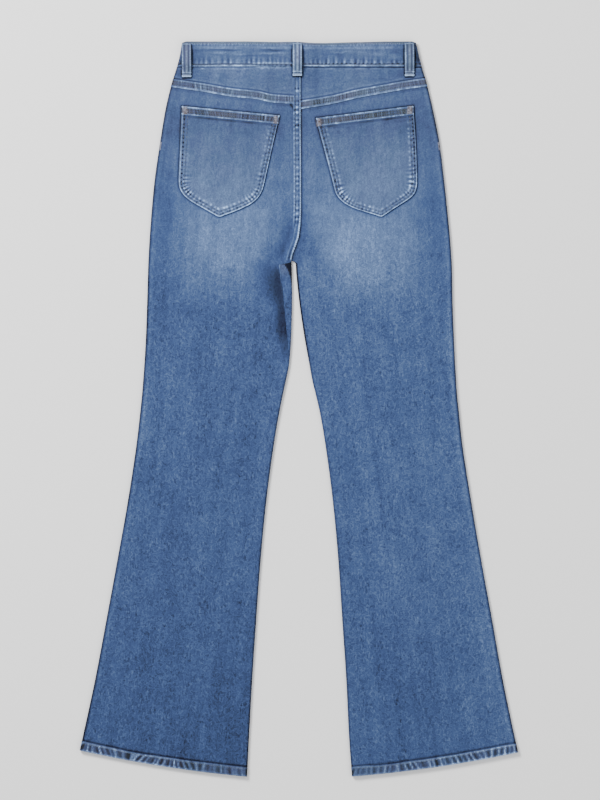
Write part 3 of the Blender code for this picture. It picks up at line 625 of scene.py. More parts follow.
# a sewn fold of cloth, where dist runs from its bright edge to its other edge
def foldedBand(dist, along, high, seed, rowPlaces):
    core = smooth((dist - 1.8) / 1.6) * smooth((high - 1.4 - dist) / 1.4)
    lean = along + 0.35 * dist * lineNoise(along, 14.0, seed)
    pitch = 3.6
    bars = marks(lean, pitch, 0.95, seed + 1, 0.34)
    bars = bars - marks(lean + 0.5 * pitch, pitch, 0.95, seed + 6, 0.34)
    patchy = 0.8 + 0.7 * softNoise(along / 13.0, dist / 6.0, seed + 2)
    bars = bars * core * np.clip(patchy, 0.15, 1.35)
    rows = bump(dist, rowPlaces[0], 1.05) + bump(dist, rowPlaces[1], 1.05)
    rows = rows * (0.5 + 0.7 * marks(along, 4.3, 1.3, seed + 3, 0.3))
    uneven = 0.85 + 0.45 * lineNoise(along, 6.0, seed + 4)
    edge = bump(dist, 1.1, 1.45) * uneven
    other = bump(dist, high - 1.3, 1.2) * (0.9 + 0.4 * lineNoise(along, 7.0, seed + 5, 4.0))
    lift = 0.13 * bars - 0.12 * rows * core
    wearAndHighlight = 0.50 * np.maximum(bars, 0.0)
    # painted shade in the hollows between puckers, along the two stitch rows and lightly over the
    # middle
    shade = 0.36 * np.maximum(-bars, 0.0) + 0.38 * rows * core + 0.05 * core
    return {"core": core, "edge": edge, "other": other, "lift": lift, "wearAndHighlight": wearAndHighlight, "shade": shade}


def greyAt(down):  # the wash is greyer towards the waist
    start, length = wash["greyTo"]
    return wash["grey"] * (1.0 - smooth((down - start) / length))


def stackDyeAndShade(fadeAndShading, wearAndHighlight, tint, shade):  # shade takes the tint away
    fadeAndShading, wearAndHighlight, tint, shade = np.broadcast_arrays(fadeAndShading, wearAndHighlight, tint, shade)
    tint = tint * np.clip(1.0 - 0.75 * shade, 0.25, 1.0)
    return np.stack((fadeAndShading, wearAndHighlight, tint, shade), axis=-1)


# the cloth's looks
denimLook = {
    # place on the scale from deep blue to pale worn blue, colour
    "ramp": (
        (0.0, (0.0040, 0.0058, 0.0150)),
        (0.05, (0.0115, 0.0168, 0.0430)),
        (0.12, (0.0182, 0.0295, 0.0680)),
        (0.26, (0.0298, 0.0505, 0.1310)),
        (0.35, (0.0395, 0.0700, 0.1690)),
        (0.45, (0.0585, 0.0965, 0.2000)),
        (0.57, (0.0880, 0.1410, 0.2740)),
        (0.71, (0.1470, 0.2270, 0.4130)),
        (0.88, (0.2830, 0.4580, 0.7750)),
        (1.0, (0.4000, 0.6000, 0.9600)),
    ),
    "tint": (0.078, 0.096, 0.090),
    "tintWarm": (0.092, 0.086, 0.099),
    # scale, detail and roughness of each noise
    "grains": {
        "fine": (620.0, 2.0, 0.6),
        "mottle": (320.0, 3.0, 0.65),
        "streak": (280.0, 3.0, 0.6),
        "cloud": (38.0, 3.0, 0.55),
        "fibre": (430.0, 2.0, 0.6),
        "patch": (66.0, 2.0, 0.5),
        "bend": (175.0, 1.0, 0.5),
        "warm": (44.0, 1.0, 0.5),
    },
    # strength of each in the colour
    "fine": 0.30,
    "mottle": 0.16,
    "fibre": 0.62,
    "squiggle": 0.11,
    "squiggleDark": 0.09,
    "streak": 0.24,
    "cloud": 0.20,
    "stretch": 0.28,
    "twill": 310.0,
    "twillTurn": 62.0,
    "reliefStrength": 0.35,
    "reliefDepth": 0.0007,
    # metres from the middle of the pair: the noise is weaker above and below these heights
    "calmAbove": 0.20,
    "calmBelow": -0.18,
    "roughness": 0.90,
    "sheen": 0.03,
    "specular": 0.10,
}


def node(tree, kind, x, y, **values):
    item = tree.nodes.new(kind)
    item.location = (x, y)
    for key, value in values.items():
        setattr(item, key, value)
    return item


def mathNode(tree, operation, a, b, x, y, clamp=False):
    item = node(tree, "ShaderNodeMath", x, y, operation=operation, use_clamp=clamp)
    for socket, value in zip(item.inputs, (a, b)):
        if isinstance(value, (int, float)):
            socket.default_value = value
        elif value is not None:
            tree.links.new(value, socket)
    return item.outputs[0]


def noiseNode(tree, vector, grain, x, y):  # grain: scale, detail, roughness
    item = node(tree, "ShaderNodeTexNoise", x, y)
    for socket, value in zip(("Scale", "Detail", "Roughness"), grain):
        item.inputs[socket].default_value = value
    tree.links.new(vector, item.inputs["Vector"])
    return item.outputs[0]


def mappedPlace(tree, source, scale, turn, x, y):
    item = node(tree, "ShaderNodeMapping", x, y)
    item.inputs["Scale"].default_value = scale
    item.inputs["Rotation"].default_value = (0.0, 0.0, turn)
    tree.links.new(source, item.inputs["Vector"])
    return item.outputs[0]


def rangeNode(tree, value, ends, results, x, y):
    item = node(tree, "ShaderNodeMapRange", x, y)
    for socket, amount in zip(("From Min", "From Max", "To Min", "To Max"), (*ends, *results)):
        item.inputs[socket].default_value = amount
    tree.links.new(value, item.inputs["Value"])
    return item.outputs[0]


def rampNode(tree, value, stops, x, y):
    item = node(tree, "ShaderNodeValToRGB", x, y)
    elements = item.color_ramp.elements
    elements[0].position, elements[-1].position = stops[0][0], stops[-1][0]
    elements[0].color, elements[-1].color = (*stops[0][1], 1.0), (*stops[-1][1], 1.0)
    for position, colour in stops[1:-1]:
        elements.new(position).color = (*colour, 1.0)
    tree.links.new(value, item.inputs[0])
    return item.outputs[0]


def reliefNode(tree, height, strength, distance, shader):
    item = node(tree, "ShaderNodeBump", 500, -300)
    item.inputs["Strength"].default_value = strength
    item.inputs["Distance"].default_value = distance
    tree.links.new(height, item.inputs["Height"])
    tree.links.new(item.outputs[0], shader.inputs["Normal"])


def lineNode(tree, value, level, gain, y):  # 1 where the noise crosses the level, 0 away from it
    off = mathNode(tree, "SUBTRACT", value, level, -1000, y)
    off = mathNode(tree, "ABSOLUTE", off, None, -900, y)
    off = mathNode(tree, "MULTIPLY", off, gain, -800, y, True)
    return mathNode(tree, "SUBTRACT", 1.0, off, -700, y)


def newMaterial(name):
    material = bpy.data.materials.new(name)
    material.use_nodes = True
    tree = material.node_tree
    return material, tree, tree.nodes["Principled BSDF"]


def denimMaterial(name, grain, look, lighter=0.0):
    material, tree, shader = newMaterial(name)
    shader.location = (900, 0)
    place = node(tree, "ShaderNodeTexCoord", -1600, 0).outputs["Object"]
    dyeAndShade = node(tree, "ShaderNodeAttribute", -1600, -400, attribute_name="dyeAndShade")
    split = node(tree, "ShaderNodeSeparateColor", -1400, -400)
    tree.links.new(dyeAndShade.outputs["Color"], split.inputs[0])
    fadeAndShadingChannel, wearAndHighlightChannel, tintDye = split.outputs[:3]
    paintedShade = dyeAndShade.outputs["Alpha"]
    isLong = grain == "long"
    turn = 0.0 if isLong else 0.5 * math.pi
    stretch = (1.0, look["stretch"], 1.0) if isLong else (look["stretch"], 1.0, 1.0)
    long = mappedPlace(tree, place, stretch, 0.0, -1400, 300)
    grains = look["grains"]
    fine = noiseNode(tree, place, grains["fine"], -1150, 520)
    mottle = noiseNode(tree, place, grains["mottle"], -1150, 320)
    streak = noiseNode(tree, long, grains["streak"], -1150, 120)
    cloud = noiseNode(tree, place, grains["cloud"], -1150, -80)
    slanted = mappedPlace(tree, place, (1.0, 0.36, 1.0), 0.22, -1400, 1100)
    fibre = noiseNode(tree, slanted, grains["fibre"], -1150, 1100)
    patch = noiseNode(tree, place, grains["patch"], -1150, 1300)
    patch = mathNode(tree, "SUBTRACT", patch, 0.34, -1000, 1300)
    patch = mathNode(tree, "MULTIPLY", patch, 3.2, -900, 1300, True)
    fadeAndShading = mathNode(tree, "ADD", fadeAndShadingChannel, lighter, -900, -300)
    bend = noiseNode(tree, place, grains["bend"], -1150, -240)
    ridge = lineNode(tree, bend, 0.5, 14.0, -240)
    groove = lineNode(tree, bend, 0.58, 15.0, -1000)
    axes = node(tree, "ShaderNodeSeparateXYZ", -1400, 900)
    tree.links.new(place, axes.inputs[0])
    height = axes.outputs[1]
    above, below = look["calmAbove"], look["calmBelow"]
    calm = rangeNode(tree, height, (above - 0.06, above + 0.10), (1.0, 0.5), -1200, 900)
    lowCalm = rangeNode(tree, height, (below - 0.16, below + 0.10), (0.72, 1.0), -1200, 1500)
    inShade = mathNode(tree, "MULTIPLY", paintedShade, 2.2, -1000, -1200, True)
    inShade = mathNode(tree, "MULTIPLY", inShade, 0.7, -900, -1200)
    inShade = mathNode(tree, "SUBTRACT", 1.0, inShade, -800, -1200)
    # noise, its strength, its level, row of the node tree, what weakens it
    layers = (
        (fine, look["fine"], 0.5, 520, ()),
        (mottle, look["mottle"], 0.5, 320, (calm, lowCalm)),
        (fibre, look["fibre"], 0.5, 1100, (calm, patch)),
        (streak, look["streak"], 0.5, 120, (lowCalm,)),
        (cloud, look["cloud"], 0.5, -80, (lowCalm,)),
        (ridge, look["squiggle"], 0.3, -240, (calm,)),
        (groove, -look["squiggleDark"], 0.25, -1000, (calm,)),
    )
    for value, amount, level, row, weakeners in layers:
        scaled = mathNode(tree, "SUBTRACT", value, level, -620, row)
        for step, share in enumerate((amount, *weakeners, inShade)):
            scaled = mathNode(tree, "MULTIPLY", scaled, share, -560 + 20 * step, row)
        fadeAndShading = mathNode(tree, "ADD", fadeAndShading, scaled, -460, row)
    # wear and painted highlights lighten the colour, painted shade darkens it
    worn = mathNode(tree, "MULTIPLY", wearAndHighlightChannel, mottle, -740, -500)
    worn = mathNode(tree, "MULTIPLY", worn, 1.5, -580, -500)
    fadeAndShading = mathNode(tree, "ADD", fadeAndShading, worn, -420, 0)
    dark = mathNode(tree, "MULTIPLY", paintedShade, 0.6, -580, -700)
    fadeAndShading = mathNode(tree, "SUBTRACT", fadeAndShading, dark, -260, 0, clamp=True)
    colour = rampNode(tree, fadeAndShading, look["ramp"], -80, 60)
    blend = node(tree, "ShaderNodeMix", 300, 60, data_type="RGBA")
    warm = noiseNode(tree, place, grains["warm"], -300, 1300)
    warm = mathNode(tree, "SUBTRACT", warm, 0.40, -140, 1300)
    warm = mathNode(tree, "MULTIPLY", warm, 5.0, 0, 1300, True)
    tints = node(tree, "ShaderNodeMix", 160, 1300, data_type="RGBA")
    tints.inputs["A"].default_value = (*look["tint"], 1.0)
    tints.inputs["B"].default_value = (*look["tintWarm"], 1.0)
    tree.links.new(warm, tints.inputs["Factor"])
    tree.links.new(tints.outputs["Result"], blend.inputs["B"])
    tinted = mathNode(tree, "MULTIPLY", tintDye, 0.6, 120, -200)
    tree.links.new(tinted, blend.inputs["Factor"])
    tree.links.new(colour, blend.inputs["A"])
    tree.links.new(blend.outputs["Result"], shader.inputs["Base Color"])
    twillTurn = math.radians(look["twillTurn"]) + turn
    twillPlace = mappedPlace(tree, place, (1.0, 1.0, 0.0), twillTurn, -1400, 760)
    twill = node(tree, "ShaderNodeTexWave", -1150, 760)
    twill.inputs["Scale"].default_value = look["twill"]
    twill.inputs["Distortion"].default_value = 0.6
    twill.inputs["Detail"].default_value = 1.0
    tree.links.new(twillPlace, twill.inputs["Vector"])
    weave = mathNode(tree, "MULTIPLY", twill.outputs["Fac"], 0.35, -300, 760)
    grit = mathNode(tree, "ADD", weave, mottle, -140, 620)
    grit = mathNode(tree, "ADD", grit, streak, 20, 560)
    reliefNode(tree, grit, look["reliefStrength"], look["reliefDepth"], shader)
    rough = mathNode(tree, "MULTIPLY", fine, 0.14, 300, -150)
    rough = mathNode(tree, "ADD", rough, look["roughness"] - 0.07, 460, -150)
    tree.links.new(rough, shader.inputs["Roughness"])
    shader.inputs["Sheen Weight"].default_value = look["sheen"]
    shader.inputs["Sheen Roughness"].default_value = 0.5
    shader.inputs["Specular IOR Level"].default_value = look["specular"]
    return material


denimLong = denimMaterial("denimLong", "long", denimLook)
denimCross = denimMaterial("denimCross", "cross", denimLook)
denimLoop = denimMaterial("denimLoop", "long", denimLook, 0.06)
print("denim ready")


seatTrees = {}  # the faces that stitches are laid on, by name


def addPiece(item, material, nodeName):
    mesh = item.data
    mesh.materials.append(material)
    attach(item, "root")
    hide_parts(nodeName)
    verts = [v.co.copy() for v in mesh.vertices]
    seatTrees[item.name] = BVHTree.FromPolygons(verts, [tuple(p.vertices) for p in mesh.polygons])


legLook = {
    "pitch": 2.8,
    "columns": 118,
    "finePitch": 1.2,
    "fineAbove": 340.0,
    "fineBelow": 1044.0,
    "lap": {-1: (9.6, 10), 1: (3.0, 3)},  # how far past the centre seam, columns there
    "hemPitch": 8.6,
    "hemSlant": 0.7,
    "hemWear": (0.86, 0.62, 0.54),  # of the bars, the lower edge and the upper line
    "hemShade": (0.33, 0.21, 0.44),  # of the gaps, all of the band and the line above it
    "hemTint": 0.34,
}


def legTable(side, first):
    outer, inner = hemEnds(side)
    table = list(first)
    for outerDown, innerDown in legRows:
        table.append((outerDown, innerDown, 0.0, float(smooth((outerDown - 900.0) / 160.0)), 0.0))
    for off in (garment["hemHeight"] + 3.0, garment["hemHeight"] + 0.6, garment["hemHeight"], 0.0):
        table.append((outer - off, inner - off, 0.0, 1.0, 0.0))
    return table


def hemDown(side, across):
    ends = hemEnds(side)
    return mix(ends[0], ends[1], across) + garment["hemBow"] * 4.0 * across * (1.0 - across)


def hemLook(dist, along, seed):  # folded and sewn lower edge, roped by washing
    barWear, edgeWear, topWear = legLook["hemWear"]
    gapShade, bandShade, lineShade = legLook["hemShade"]
    high = garment["hemHeight"] + 1.1 + 0.8 * lineNoise(along, 23.0, seed + 9)
    shelf = smooth((high + 0.3 - dist) / 0.6)
    window = smooth((dist - 0.6) / 1.4) * smooth((high - 1.6 - dist) / 1.2)
    slant = legLook["hemSlant"] * lineNoise(along, 31.0, seed + 3)
    lean = along + slant * dist
    pitch = legLook["hemPitch"]
    bars = marks(lean, pitch, 1.5, seed, 0.34)
    gaps = marks(lean + 0.5 * pitch, pitch, 2.0, seed, 0.34)
    worn = 0.62 + 0.38 * smooth((200.0 - along) / 80.0)
    edge = bump(dist, 0.7, 1.5) * np.clip(1.1 - 0.5 * gaps, 0.3, 1.0)
    topLine = bump(dist, high - 1.2, 1.25) * np.clip(0.95 + 0.2 * bars - 0.45 * gaps, 0.2, 1.1)
    rope = window * (bars - gaps)
    wearAndHighlight = worn * (barWear * window * bars + edgeWear * edge + topWear * topLine)
    # painted shade in the gaps between the ropes and over the band, and a painted shadow along the
    # line above it
    shade = worn * window * (gapShade * gaps + bandShade) + lineShade * bump(dist, high + 1.6, 1.7)
    return shelf, 0.7 * rope, wearAndHighlight, shade


seatSeam = {
    "rows": (7.7, 3.2),  # how far the two rows of stitches lie from the edge
    "middle": 5.6,
    "dotPitch": 7.6,
    "sewnTo": 262.0,  # down, where the second row ends
    "endsAt": 326.0,
}


# raised seam down the middle of the seat
def centreBand(off, down, leftAt=9.8, brightAt=0.15):
    inside = smooth((off + 0.35) / 0.7) * smooth((leftAt + 1.0 - off) / 0.7)
    lowFade = 1.0 - smooth((down - seatSeam["sewnTo"]) / 26.0)
    toCrotch = 1.0 - smooth((down - seatSeam["endsAt"]) / 5.0)
    pitch = seatSeam["dotPitch"]
    farAt, nearAt = seatSeam["rows"]
    dots = marks(down, pitch, 2.0, 31, 0.3)
    blobs = marks(down + 0.5 * pitch, pitch, 1.9, 33, 0.3)
    strong = 0.72 + 0.35 * lineNoise(down, 15.0, 39)
    strong = strong + 0.4 * bump(down, 92.0, 36.0) + 0.35 * bump(down, 258.0, 20.0)
    strong = strong * inside * lowFade
    far, near = bump(off, farAt, 1.15), bump(off, nearAt, 1.25)
    middle = bump(off, seatSeam["middle"], 1.5)
    # dents: dots of painted shade in the stitch dimples; lumps: pale raised cloth between them
    dents = (far * (0.05 + 0.80 * dots) + near * (0.04 + 0.86 * dots) + 0.3 * middle * dots) * strong
    lumps = (middle + 0.35 * near) * (0.2 + 0.8 * blobs) * strong
    high = garment["raised"] * inside - 0.30 * dents + 0.20 * lumps
    leftLine = np.clip(0.7 + 0.45 * ticks(down, 6.6, 33, 1.0), 0.2, 1.1)
    leftLine = bump(off, leftAt, 1.0) * lowFade * leftLine
    leftLine = leftLine + 0.6 * bump(off, 7.2, 1.0) * (1.0 - lowFade) * toCrotch
    turned = smooth((down - 258.0) / 24.0)
    bright = bump(off, mix(brightAt, 1.0, turned), mix(1.1, 1.25, turned)) * toCrotch
    wearAndHighlight = mix(0.98, 1.2, turned) * bright + 0.5 * leftLine + 0.85 * lumps
    shade = dents + 0.12 * bump(off, 11.6, 1.0) * lowFade
    return high, wearAndHighlight, shade, toCrotch


def backReaches(row, side):  # across the centre band, then over the inner fold
    band, count = legLook["lap"][side]
    end = 0.5 * garment["gap"]
    roll = row["roll"]
    steps = []
    for t in np.linspace(1.0, 0.0, count, endpoint=False):
        steps.append(roll + mix(row["turnLength"], band + 2.4, t))
    for t in np.linspace(1.0, 0.0, 7):
        steps.append(roll + mix(end, row["turnLength"], t))
    return np.concatenate(steps, axis=1)


def angleSteps(row, count):
    first = np.arcsin(0.5 * garment["gap"] / row["outerRadius"])
    t = np.linspace(0.0, 1.0, count + 1)[None, :-1]
    return first + (0.5 * math.pi - first) * t


def pocketShadow(side, x, down):  # painted shadow: a dark line on the leg along the edge of its pocket
    shade = np.zeros_like(x)
    near = (np.abs(x - side * 100.0) < 96.0) & (down > 88.0) & (down < 272.0)
    outline = np.concatenate((pocketLines[side]["rim"], pocketLines[side]["top"][::-1][1:]))[::4]
    outline = np.concatenate((outline, outline[:1]))
    off = distanceTo(outline, x[near], down[near])[0]
    shade[near] = 0.62 * bump(off, 0.0, 2.1)
    return shade


def makeBackLeg(side):
    outer, inner = yokeEnds(side)
    gap = garment["gap"]
    table = legTable(side, [(outer + gap, inner + gap, 1.0, 0.0, 0.0)])

    def pitches(down):
        isFine = down > legLook["fineBelow"] or down < legLook["fineAbove"]
        return legLook["finePitch"] if isFine else legLook["pitch"]

    row = rowSet(side, 1, denseRows(table, pitches))
    shares = np.linspace(0.0, 1.0, legLook["columns"])[None, :-1]
    grid = panelPoints(row, angleSteps(row, 6), shares, backReaches(row, side))
    x, down = grid["x"], grid["down"]
    fromSeam = row["width"] - grid["q"]
    above = 1.0 - smooth((row["innerDown"] - 300.0) / 27.0)
    flat = grid["flatness"]
    dist = hemDown(side, grid["across"]) - down
    shelf, rope, wearAndHighlight, shade = hemLook(dist, grid["q"], 21 + side)
    proud = garment["raised"] * shelf * flat + 0.34 * rope * flat
    underYoke = down - yokeSeamDown(side, x)
    # painted shadow under the yoke's lower edge
    shade = shade + np.where(row["yokeShare"] > 0.0, 0.16 * bump(underYoke, 2.6, 2.0), 0.0)
    tint = legLook["hemTint"] * shelf + greyAt(down)
    if side < 0:
        fromFold = np.maximum(innerEdge(-1, down) - x, 0.0)
        high, bandWear, bandShade, onSeam = centreBand(fromFold, down)
        proud = proud + above * high
        wearAndHighlight = wearAndHighlight + bandWear * onSeam
        shade = shade + above * bandShade + onSeam * (1.0 - above) * 0.4 * bump(fromFold, 4.2, 1.6)
        below = smooth((down - 326.0) / 8.0) * (1.0 - smooth((down - 470.0) / 30.0))
        offSeam = grid["q"] - (row["width"] - row["turnWidth"] + row["turnLength"] - row["roll"])
        beside = curve(wash["seamShade"], down, 1)
        shade = shade + below * beside * np.exp(-(np.maximum(-offSeam, 0.0) / 14.0) ** 3)
        # painted highlight along the lit edge of the fold beside the inside leg seam
        lit = 0.5 * bump(offSeam, -0.6, 0.9) * smooth((down - 330.0) / 3.0)
        wearAndHighlight = wearAndHighlight + lit * (1.0 - smooth((down - 352.0) / 18.0))
        shade = shade + foldsAt(x, down, wash["shadows"])
    else:
        fromFold = np.maximum(x - innerEdge(1, down), 0.0)
        # painted shadow beside the step of the centre seam
        shade = shade + 0.52 * (1.0 - smooth((down - 326.0) / 6.0)) * bump(fromFold, 0.8, 2.1)
    # painted shade along the opened inside edges
    opened = smooth((row["innerDown"] - 331.0) / 3.0)
    if side > 0:
        darker = opened * 0.75 * (1.0 - smooth((fromSeam - 1.2) / 2.6))
        shade = shade + darker * (1.0 - 0.6 * smooth((down - 420.0) / 90.0))
    else:
        darker = opened * smooth((down - 480.0) / 20.0) * 0.3
        shade = shade + darker * (1.0 - smooth((fromSeam - 1.0) / 2.4))
    shade = shade + pocketShadow(side, x, down)
    relief = fineRelief(x, down, 1.0) + foldsAt(x, down, smallFolds)
    proud = proud + relief * flat * edgeShare(side, x, down, 10.0) * (1.0 - shelf)
    # painted shade where the cloth turns under at the outer fold
    shade = shade + 0.45 * (1.0 - smooth((grid["q"] - 0.6) / 3.6))
    wearAndHighlight = wearAndHighlight + 0.10 * bump(grid["q"], 6.0, 2.4) * (1.0 - shelf)
    dyeAndShade = stackDyeAndShade(washAndShadingAt(x, down), wearAndHighlight, tint, shade)
    innerDown = row["innerDown"][:, 0]
    crotchRows = np.nonzero((innerDown > 324.0) & (innerDown < 337.0))[0]
    wall = garment["wall"]
    item = shellObject(sided("backLeg", side), pointsOf(grid), 1, wall, proud, dyeAndShade, keep=crotchRows)
    addPiece(item, denimLong, sided("back_leg_", side))


# node name, piece name, top x, low x, width, top down, low down
backLoops = (
    ("belt_loop_back_left", "beltLoopBackLeft", -168.9, -168.5, 14.0, 2.0, 53.4),
    ("belt_loop_back", "beltLoopBackCentre", -2.4, -2.4, 13.8, 1.4, 51.8),
    ("belt_loop_back_right", "beltLoopBackRight", 165.6, 165.9, 14.2, 0.9, 52.0),
)


yokeLook = {
    "pitch": 1.1,
    "columns": 236,
    "band": {-1: (12.6, 12.8), 1: (12.8, 13.0)},  # height of its sewn fold, outside and inside
    "rows": (4.9, 9.4),  # how far the two rows of stitches lie above its lower edge
    "tint": 0.62,
}


def makeYoke(side):
    outer, inner = yokeEnds(side)
    top = garment["bandHeight"] + garment["gap"]
    bandOuter, bandInner = yokeLook["band"][side]
    table = [
        (top, top, 0.0, 0.0, 0.0),
        (41.0, 44.0, 0.1, 0.0, 0.0),
        (46.0, 54.0, 0.3, 0.0, 0.0),
        (50.0, 65.0, 0.6, 0.0, 0.0),
        (outer - bandOuter - 0.6, inner - bandInner - 0.6, 1.0, 0.0, 0.0),
        (outer - bandOuter, inner - bandInner, 1.0, 0.0, 0.0),
        (outer, inner, 1.0, 0.0, 0.0),
    ]
    row = rowSet(side, 1, denseRows(table, lambda down: yokeLook["pitch"]))
    shares = np.linspace(0.0, 1.0, yokeLook["columns"])[None, :-1]
    grid = panelPoints(row, angleSteps(row, 6), shares, backReaches(row, side))
    x, down = grid["x"], grid["down"]
    flat = grid["flatness"]
    width = mix(bandOuter, bandInner, grid["across"])
    dist = yokeSeamDown(side, x) - down
    inBand = smooth((width + 0.35 - dist) / 0.7)
    band = foldedBand(dist, x, width, 41 + side, yokeLook["rows"])
    fromSeam = row["width"] - grid["q"]
    proud = flat * (garment["raised"] * inBand + band["lift"])
    above = bump(dist, width + 3.3, 1.4) * (0.8 + 0.4 * lineNoise(x, 9.0, 49 + side))
    proud = proud + 0.12 * above * flat
    wearAndHighlight = 0.92 * band["wearAndHighlight"] + 0.5 * band["edge"] + 0.52 * band["other"] * inBand + 0.16 * above
    # painted shadow just above the sewn fold's upper edge
    shade = band["shade"] + 0.38 * bump(dist, width + 0.8, 1.2)
    uneven = 0.85 + 0.35 * lineNoise(x, 16.0, 47 + side)
    tint = greyAt(down) + yokeLook["tint"] * band["core"] * uneven
    if side < 0:
        high, bandWear, bandShade = centreBand(fromSeam, down, 10.6, -0.3)[:3]
        onCentre = smooth((10.4 - fromSeam) / 1.0)
        proud = np.maximum(proud, high * flat)
        wearAndHighlight = mix(wearAndHighlight, bandWear, onCentre)
        shade = mix(shade, bandShade, onCentre)
        tint = tint * (1.0 - 0.7 * onCentre)
    else:
        # painted shadow beside the step of the centre seam
        shade = shade + 0.52 * bump(fromSeam, 0.8, 2.0)
    underBand = down - garment["bandHeight"]
    offCentre = smooth((np.abs(x + 2.4) - 8.0) / 3.0)
    rightward = smooth((x + 8.0) / 16.0)
    nearer = smooth((x + 80.0) / 24.0)
    # painted shadow under the waistband's lower edge
    shade = shade + mix(0.14, 0.60, rightward) * bump(underBand, 1.8, 1.1) * offCentre
    shade = shade + 0.26 * (1.0 - nearer) * bump(underBand, 2.0, 0.8)
    wearAndHighlight = wearAndHighlight + 0.45 * (1.0 - nearer) * bump(underBand, 0.5, 0.8)
    leftRow, rightRow = 0.50 * bump(underBand, 1.0, 1.1), 0.12 * bump(underBand, 0.4, 0.9)
    wearAndHighlight = wearAndHighlight + nearer * offCentre * mix(leftRow, rightRow, rightward)
    wearAndHighlight = wearAndHighlight + 0.25 * bump(underBand, 3.5, 1.0) * offCentre * (0.9 + 0.7 * lineNoise(x, 8.0, 53))
    for lowX, lowDown in ((entry[3], entry[6]) for entry in backLoops):  # their shadows
        reach = smooth((7.9 - np.abs(x - lowX)) / 1.2)
        shade = shade + 1.2 * reach * np.exp(-((down - lowDown - 0.6) / 1.7) ** 2)
        shade = shade + 0.55 * (bump(np.abs(x - lowX), 7.6, 1.5) * (down < lowDown))
    pull = np.sin(x / 2.9 + 1.6 * lineNoise(x, 12.0, 51))
    pull = pull * np.exp(-np.maximum(underBand, 0.0) / 9.0)
    relief = fineRelief(x, down, 1.2) + 0.12 * pull
    proud = proud + relief * flat * (1.0 - inBand) * edgeShare(side, x, down, 10.0)
    wearAndHighlight = wearAndHighlight + 0.08 * np.maximum(pull, 0.0)
    # painted shade where the cloth turns under at the outer fold
    shade = shade + 0.45 * (1.0 - smooth((grid["q"] - 0.6) / 3.6))
    dyeAndShade = stackDyeAndShade(washAndShadingAt(x, down), wearAndHighlight, tint, shade)
    item = shellObject(sided("yoke", side), pointsOf(grid), 1, garment["wall"], proud, dyeAndShade)
    addPiece(item, denimCross, sided("yoke_", side))


frontLook = {"pitch": 5.0, "bendPitch": 2.2, "hemPitch": 1.5, "columns": 40, "darker": 0.02}


def mouthDown(x):
    off = np.clip((garment["mouthMiddle"] - np.abs(x)) / garment["mouthAcross"], 0.0, 1.0)
    return garment["bandHeight"] + garment["mouthDeep"] * np.sqrt(1.0 - off * off)


def makeFrontLeg(side):
    top = garment["bandHeight"] + garment["gap"]
    table = legTable(side, [
        (top, top + garment["frontDip"], 0.0, 0.0, 1.0),
        (44.0, 54.0, 0.0, 0.0, 1.0),
        (54.0, 64.0, 0.0, 0.0, 0.8),
        (65.0, 76.0, 0.0, 0.0, 0.5),
        (79.0, 92.0, 0.0, 0.0, 0.2),
    ])

    def pitches(down):
        if down > legLook["fineBelow"]:
            return frontLook["hemPitch"]
        isBent = 300.0 < down < 346.0 or down < 60.0
        return frontLook["bendPitch"] if isBent else frontLook["pitch"]

    row = rowSet(side, -1, denseRows(table, pitches))
    end = 0.5 * garment["gap"]
    low = -0.33 * row["turnLength"]
    steps = [mix(-row["turnLength"], low, t) for t in np.linspace(0.0, 1.0, 4)]
    if side < 0:  # the strip that shows on the back, beside the inside leg seam
        tip = row["roll"] - end
        start = np.minimum(row["turnLength"], tip - 0.1 * (tip - low))
        steps += [mix(low, start, t) for t in np.linspace(0.0, 1.0, 8)[1:]]
        steps += [mix(start, tip, t) for t in np.linspace(0.0, 1.0, 8)[1:]]
    else:
        steps += [mix(low, -end, t) for t in (0.35, 0.7, 1.0)]
    shares = np.linspace(0.0, 1.0, frontLook["columns"])[None, :-1]
    grid = panelPoints(row, angleSteps(row, 6), shares, np.concatenate(steps, axis=1))
    x, down = grid["x"], grid["down"]
    flat = grid["flatness"]
    dist = hemDown(side, grid["across"]) - down
    shelf, rope, wearAndHighlight, shade = hemLook(dist, grid["q"], 25 + side)
    extraIn = garment["raised"] * shelf * flat
    onTop = (grid["faces"] > 0.0).astype(float)
    fold = np.abs(x - innerEdge(side, down))
    toLow = np.clip((372.0 - down) / 41.0, 0.0, 1.0)
    slope = 12.5 * toLow ** 3 + 1.2 * toLow - fold
    lit = 0.0 * x
    # painted shadow in the hollow at the top of the strip, and painted light with a tint on the rest
    # of it
    if side < 0:
        inDark = smooth((slope + 0.8) / 2.0)
        shade = shade + onTop * 1.6 * inDark * smooth((374.0 - down) / 6.0)
        lit = onTop * (1.0 - inDark) * (1.0 - smooth((down - 342.0) / 16.0))
        wearAndHighlight = wearAndHighlight + 0.08 * lit
    creaseShade = foldsAt(x, down, wash["creases"][:1])  # the first crease's painted shade lies under the back yoke, so not on the front
    fadeAndShading = washAndShadingAt(x, down) - creaseShade - frontLook["darker"] - onTop * 0.05
    shade = shade + 0.4 * onTop * foldsAt(x, down, wash["shadows"])
    proud = -0.12 * np.maximum(-rope, 0.0) * flat
    dyeAndShade = stackDyeAndShade(fadeAndShading, wearAndHighlight, 0.3 * lit, shade)
    name, points = sided("frontLeg", side), pointsOf(grid)
    item = shellObject(name, points, -1, garment["wall"], proud, dyeAndShade, 1, extraIn=extraIn)
    cutMouth(item, side)
    addPiece(item, denimLong, sided("front_leg_", side))


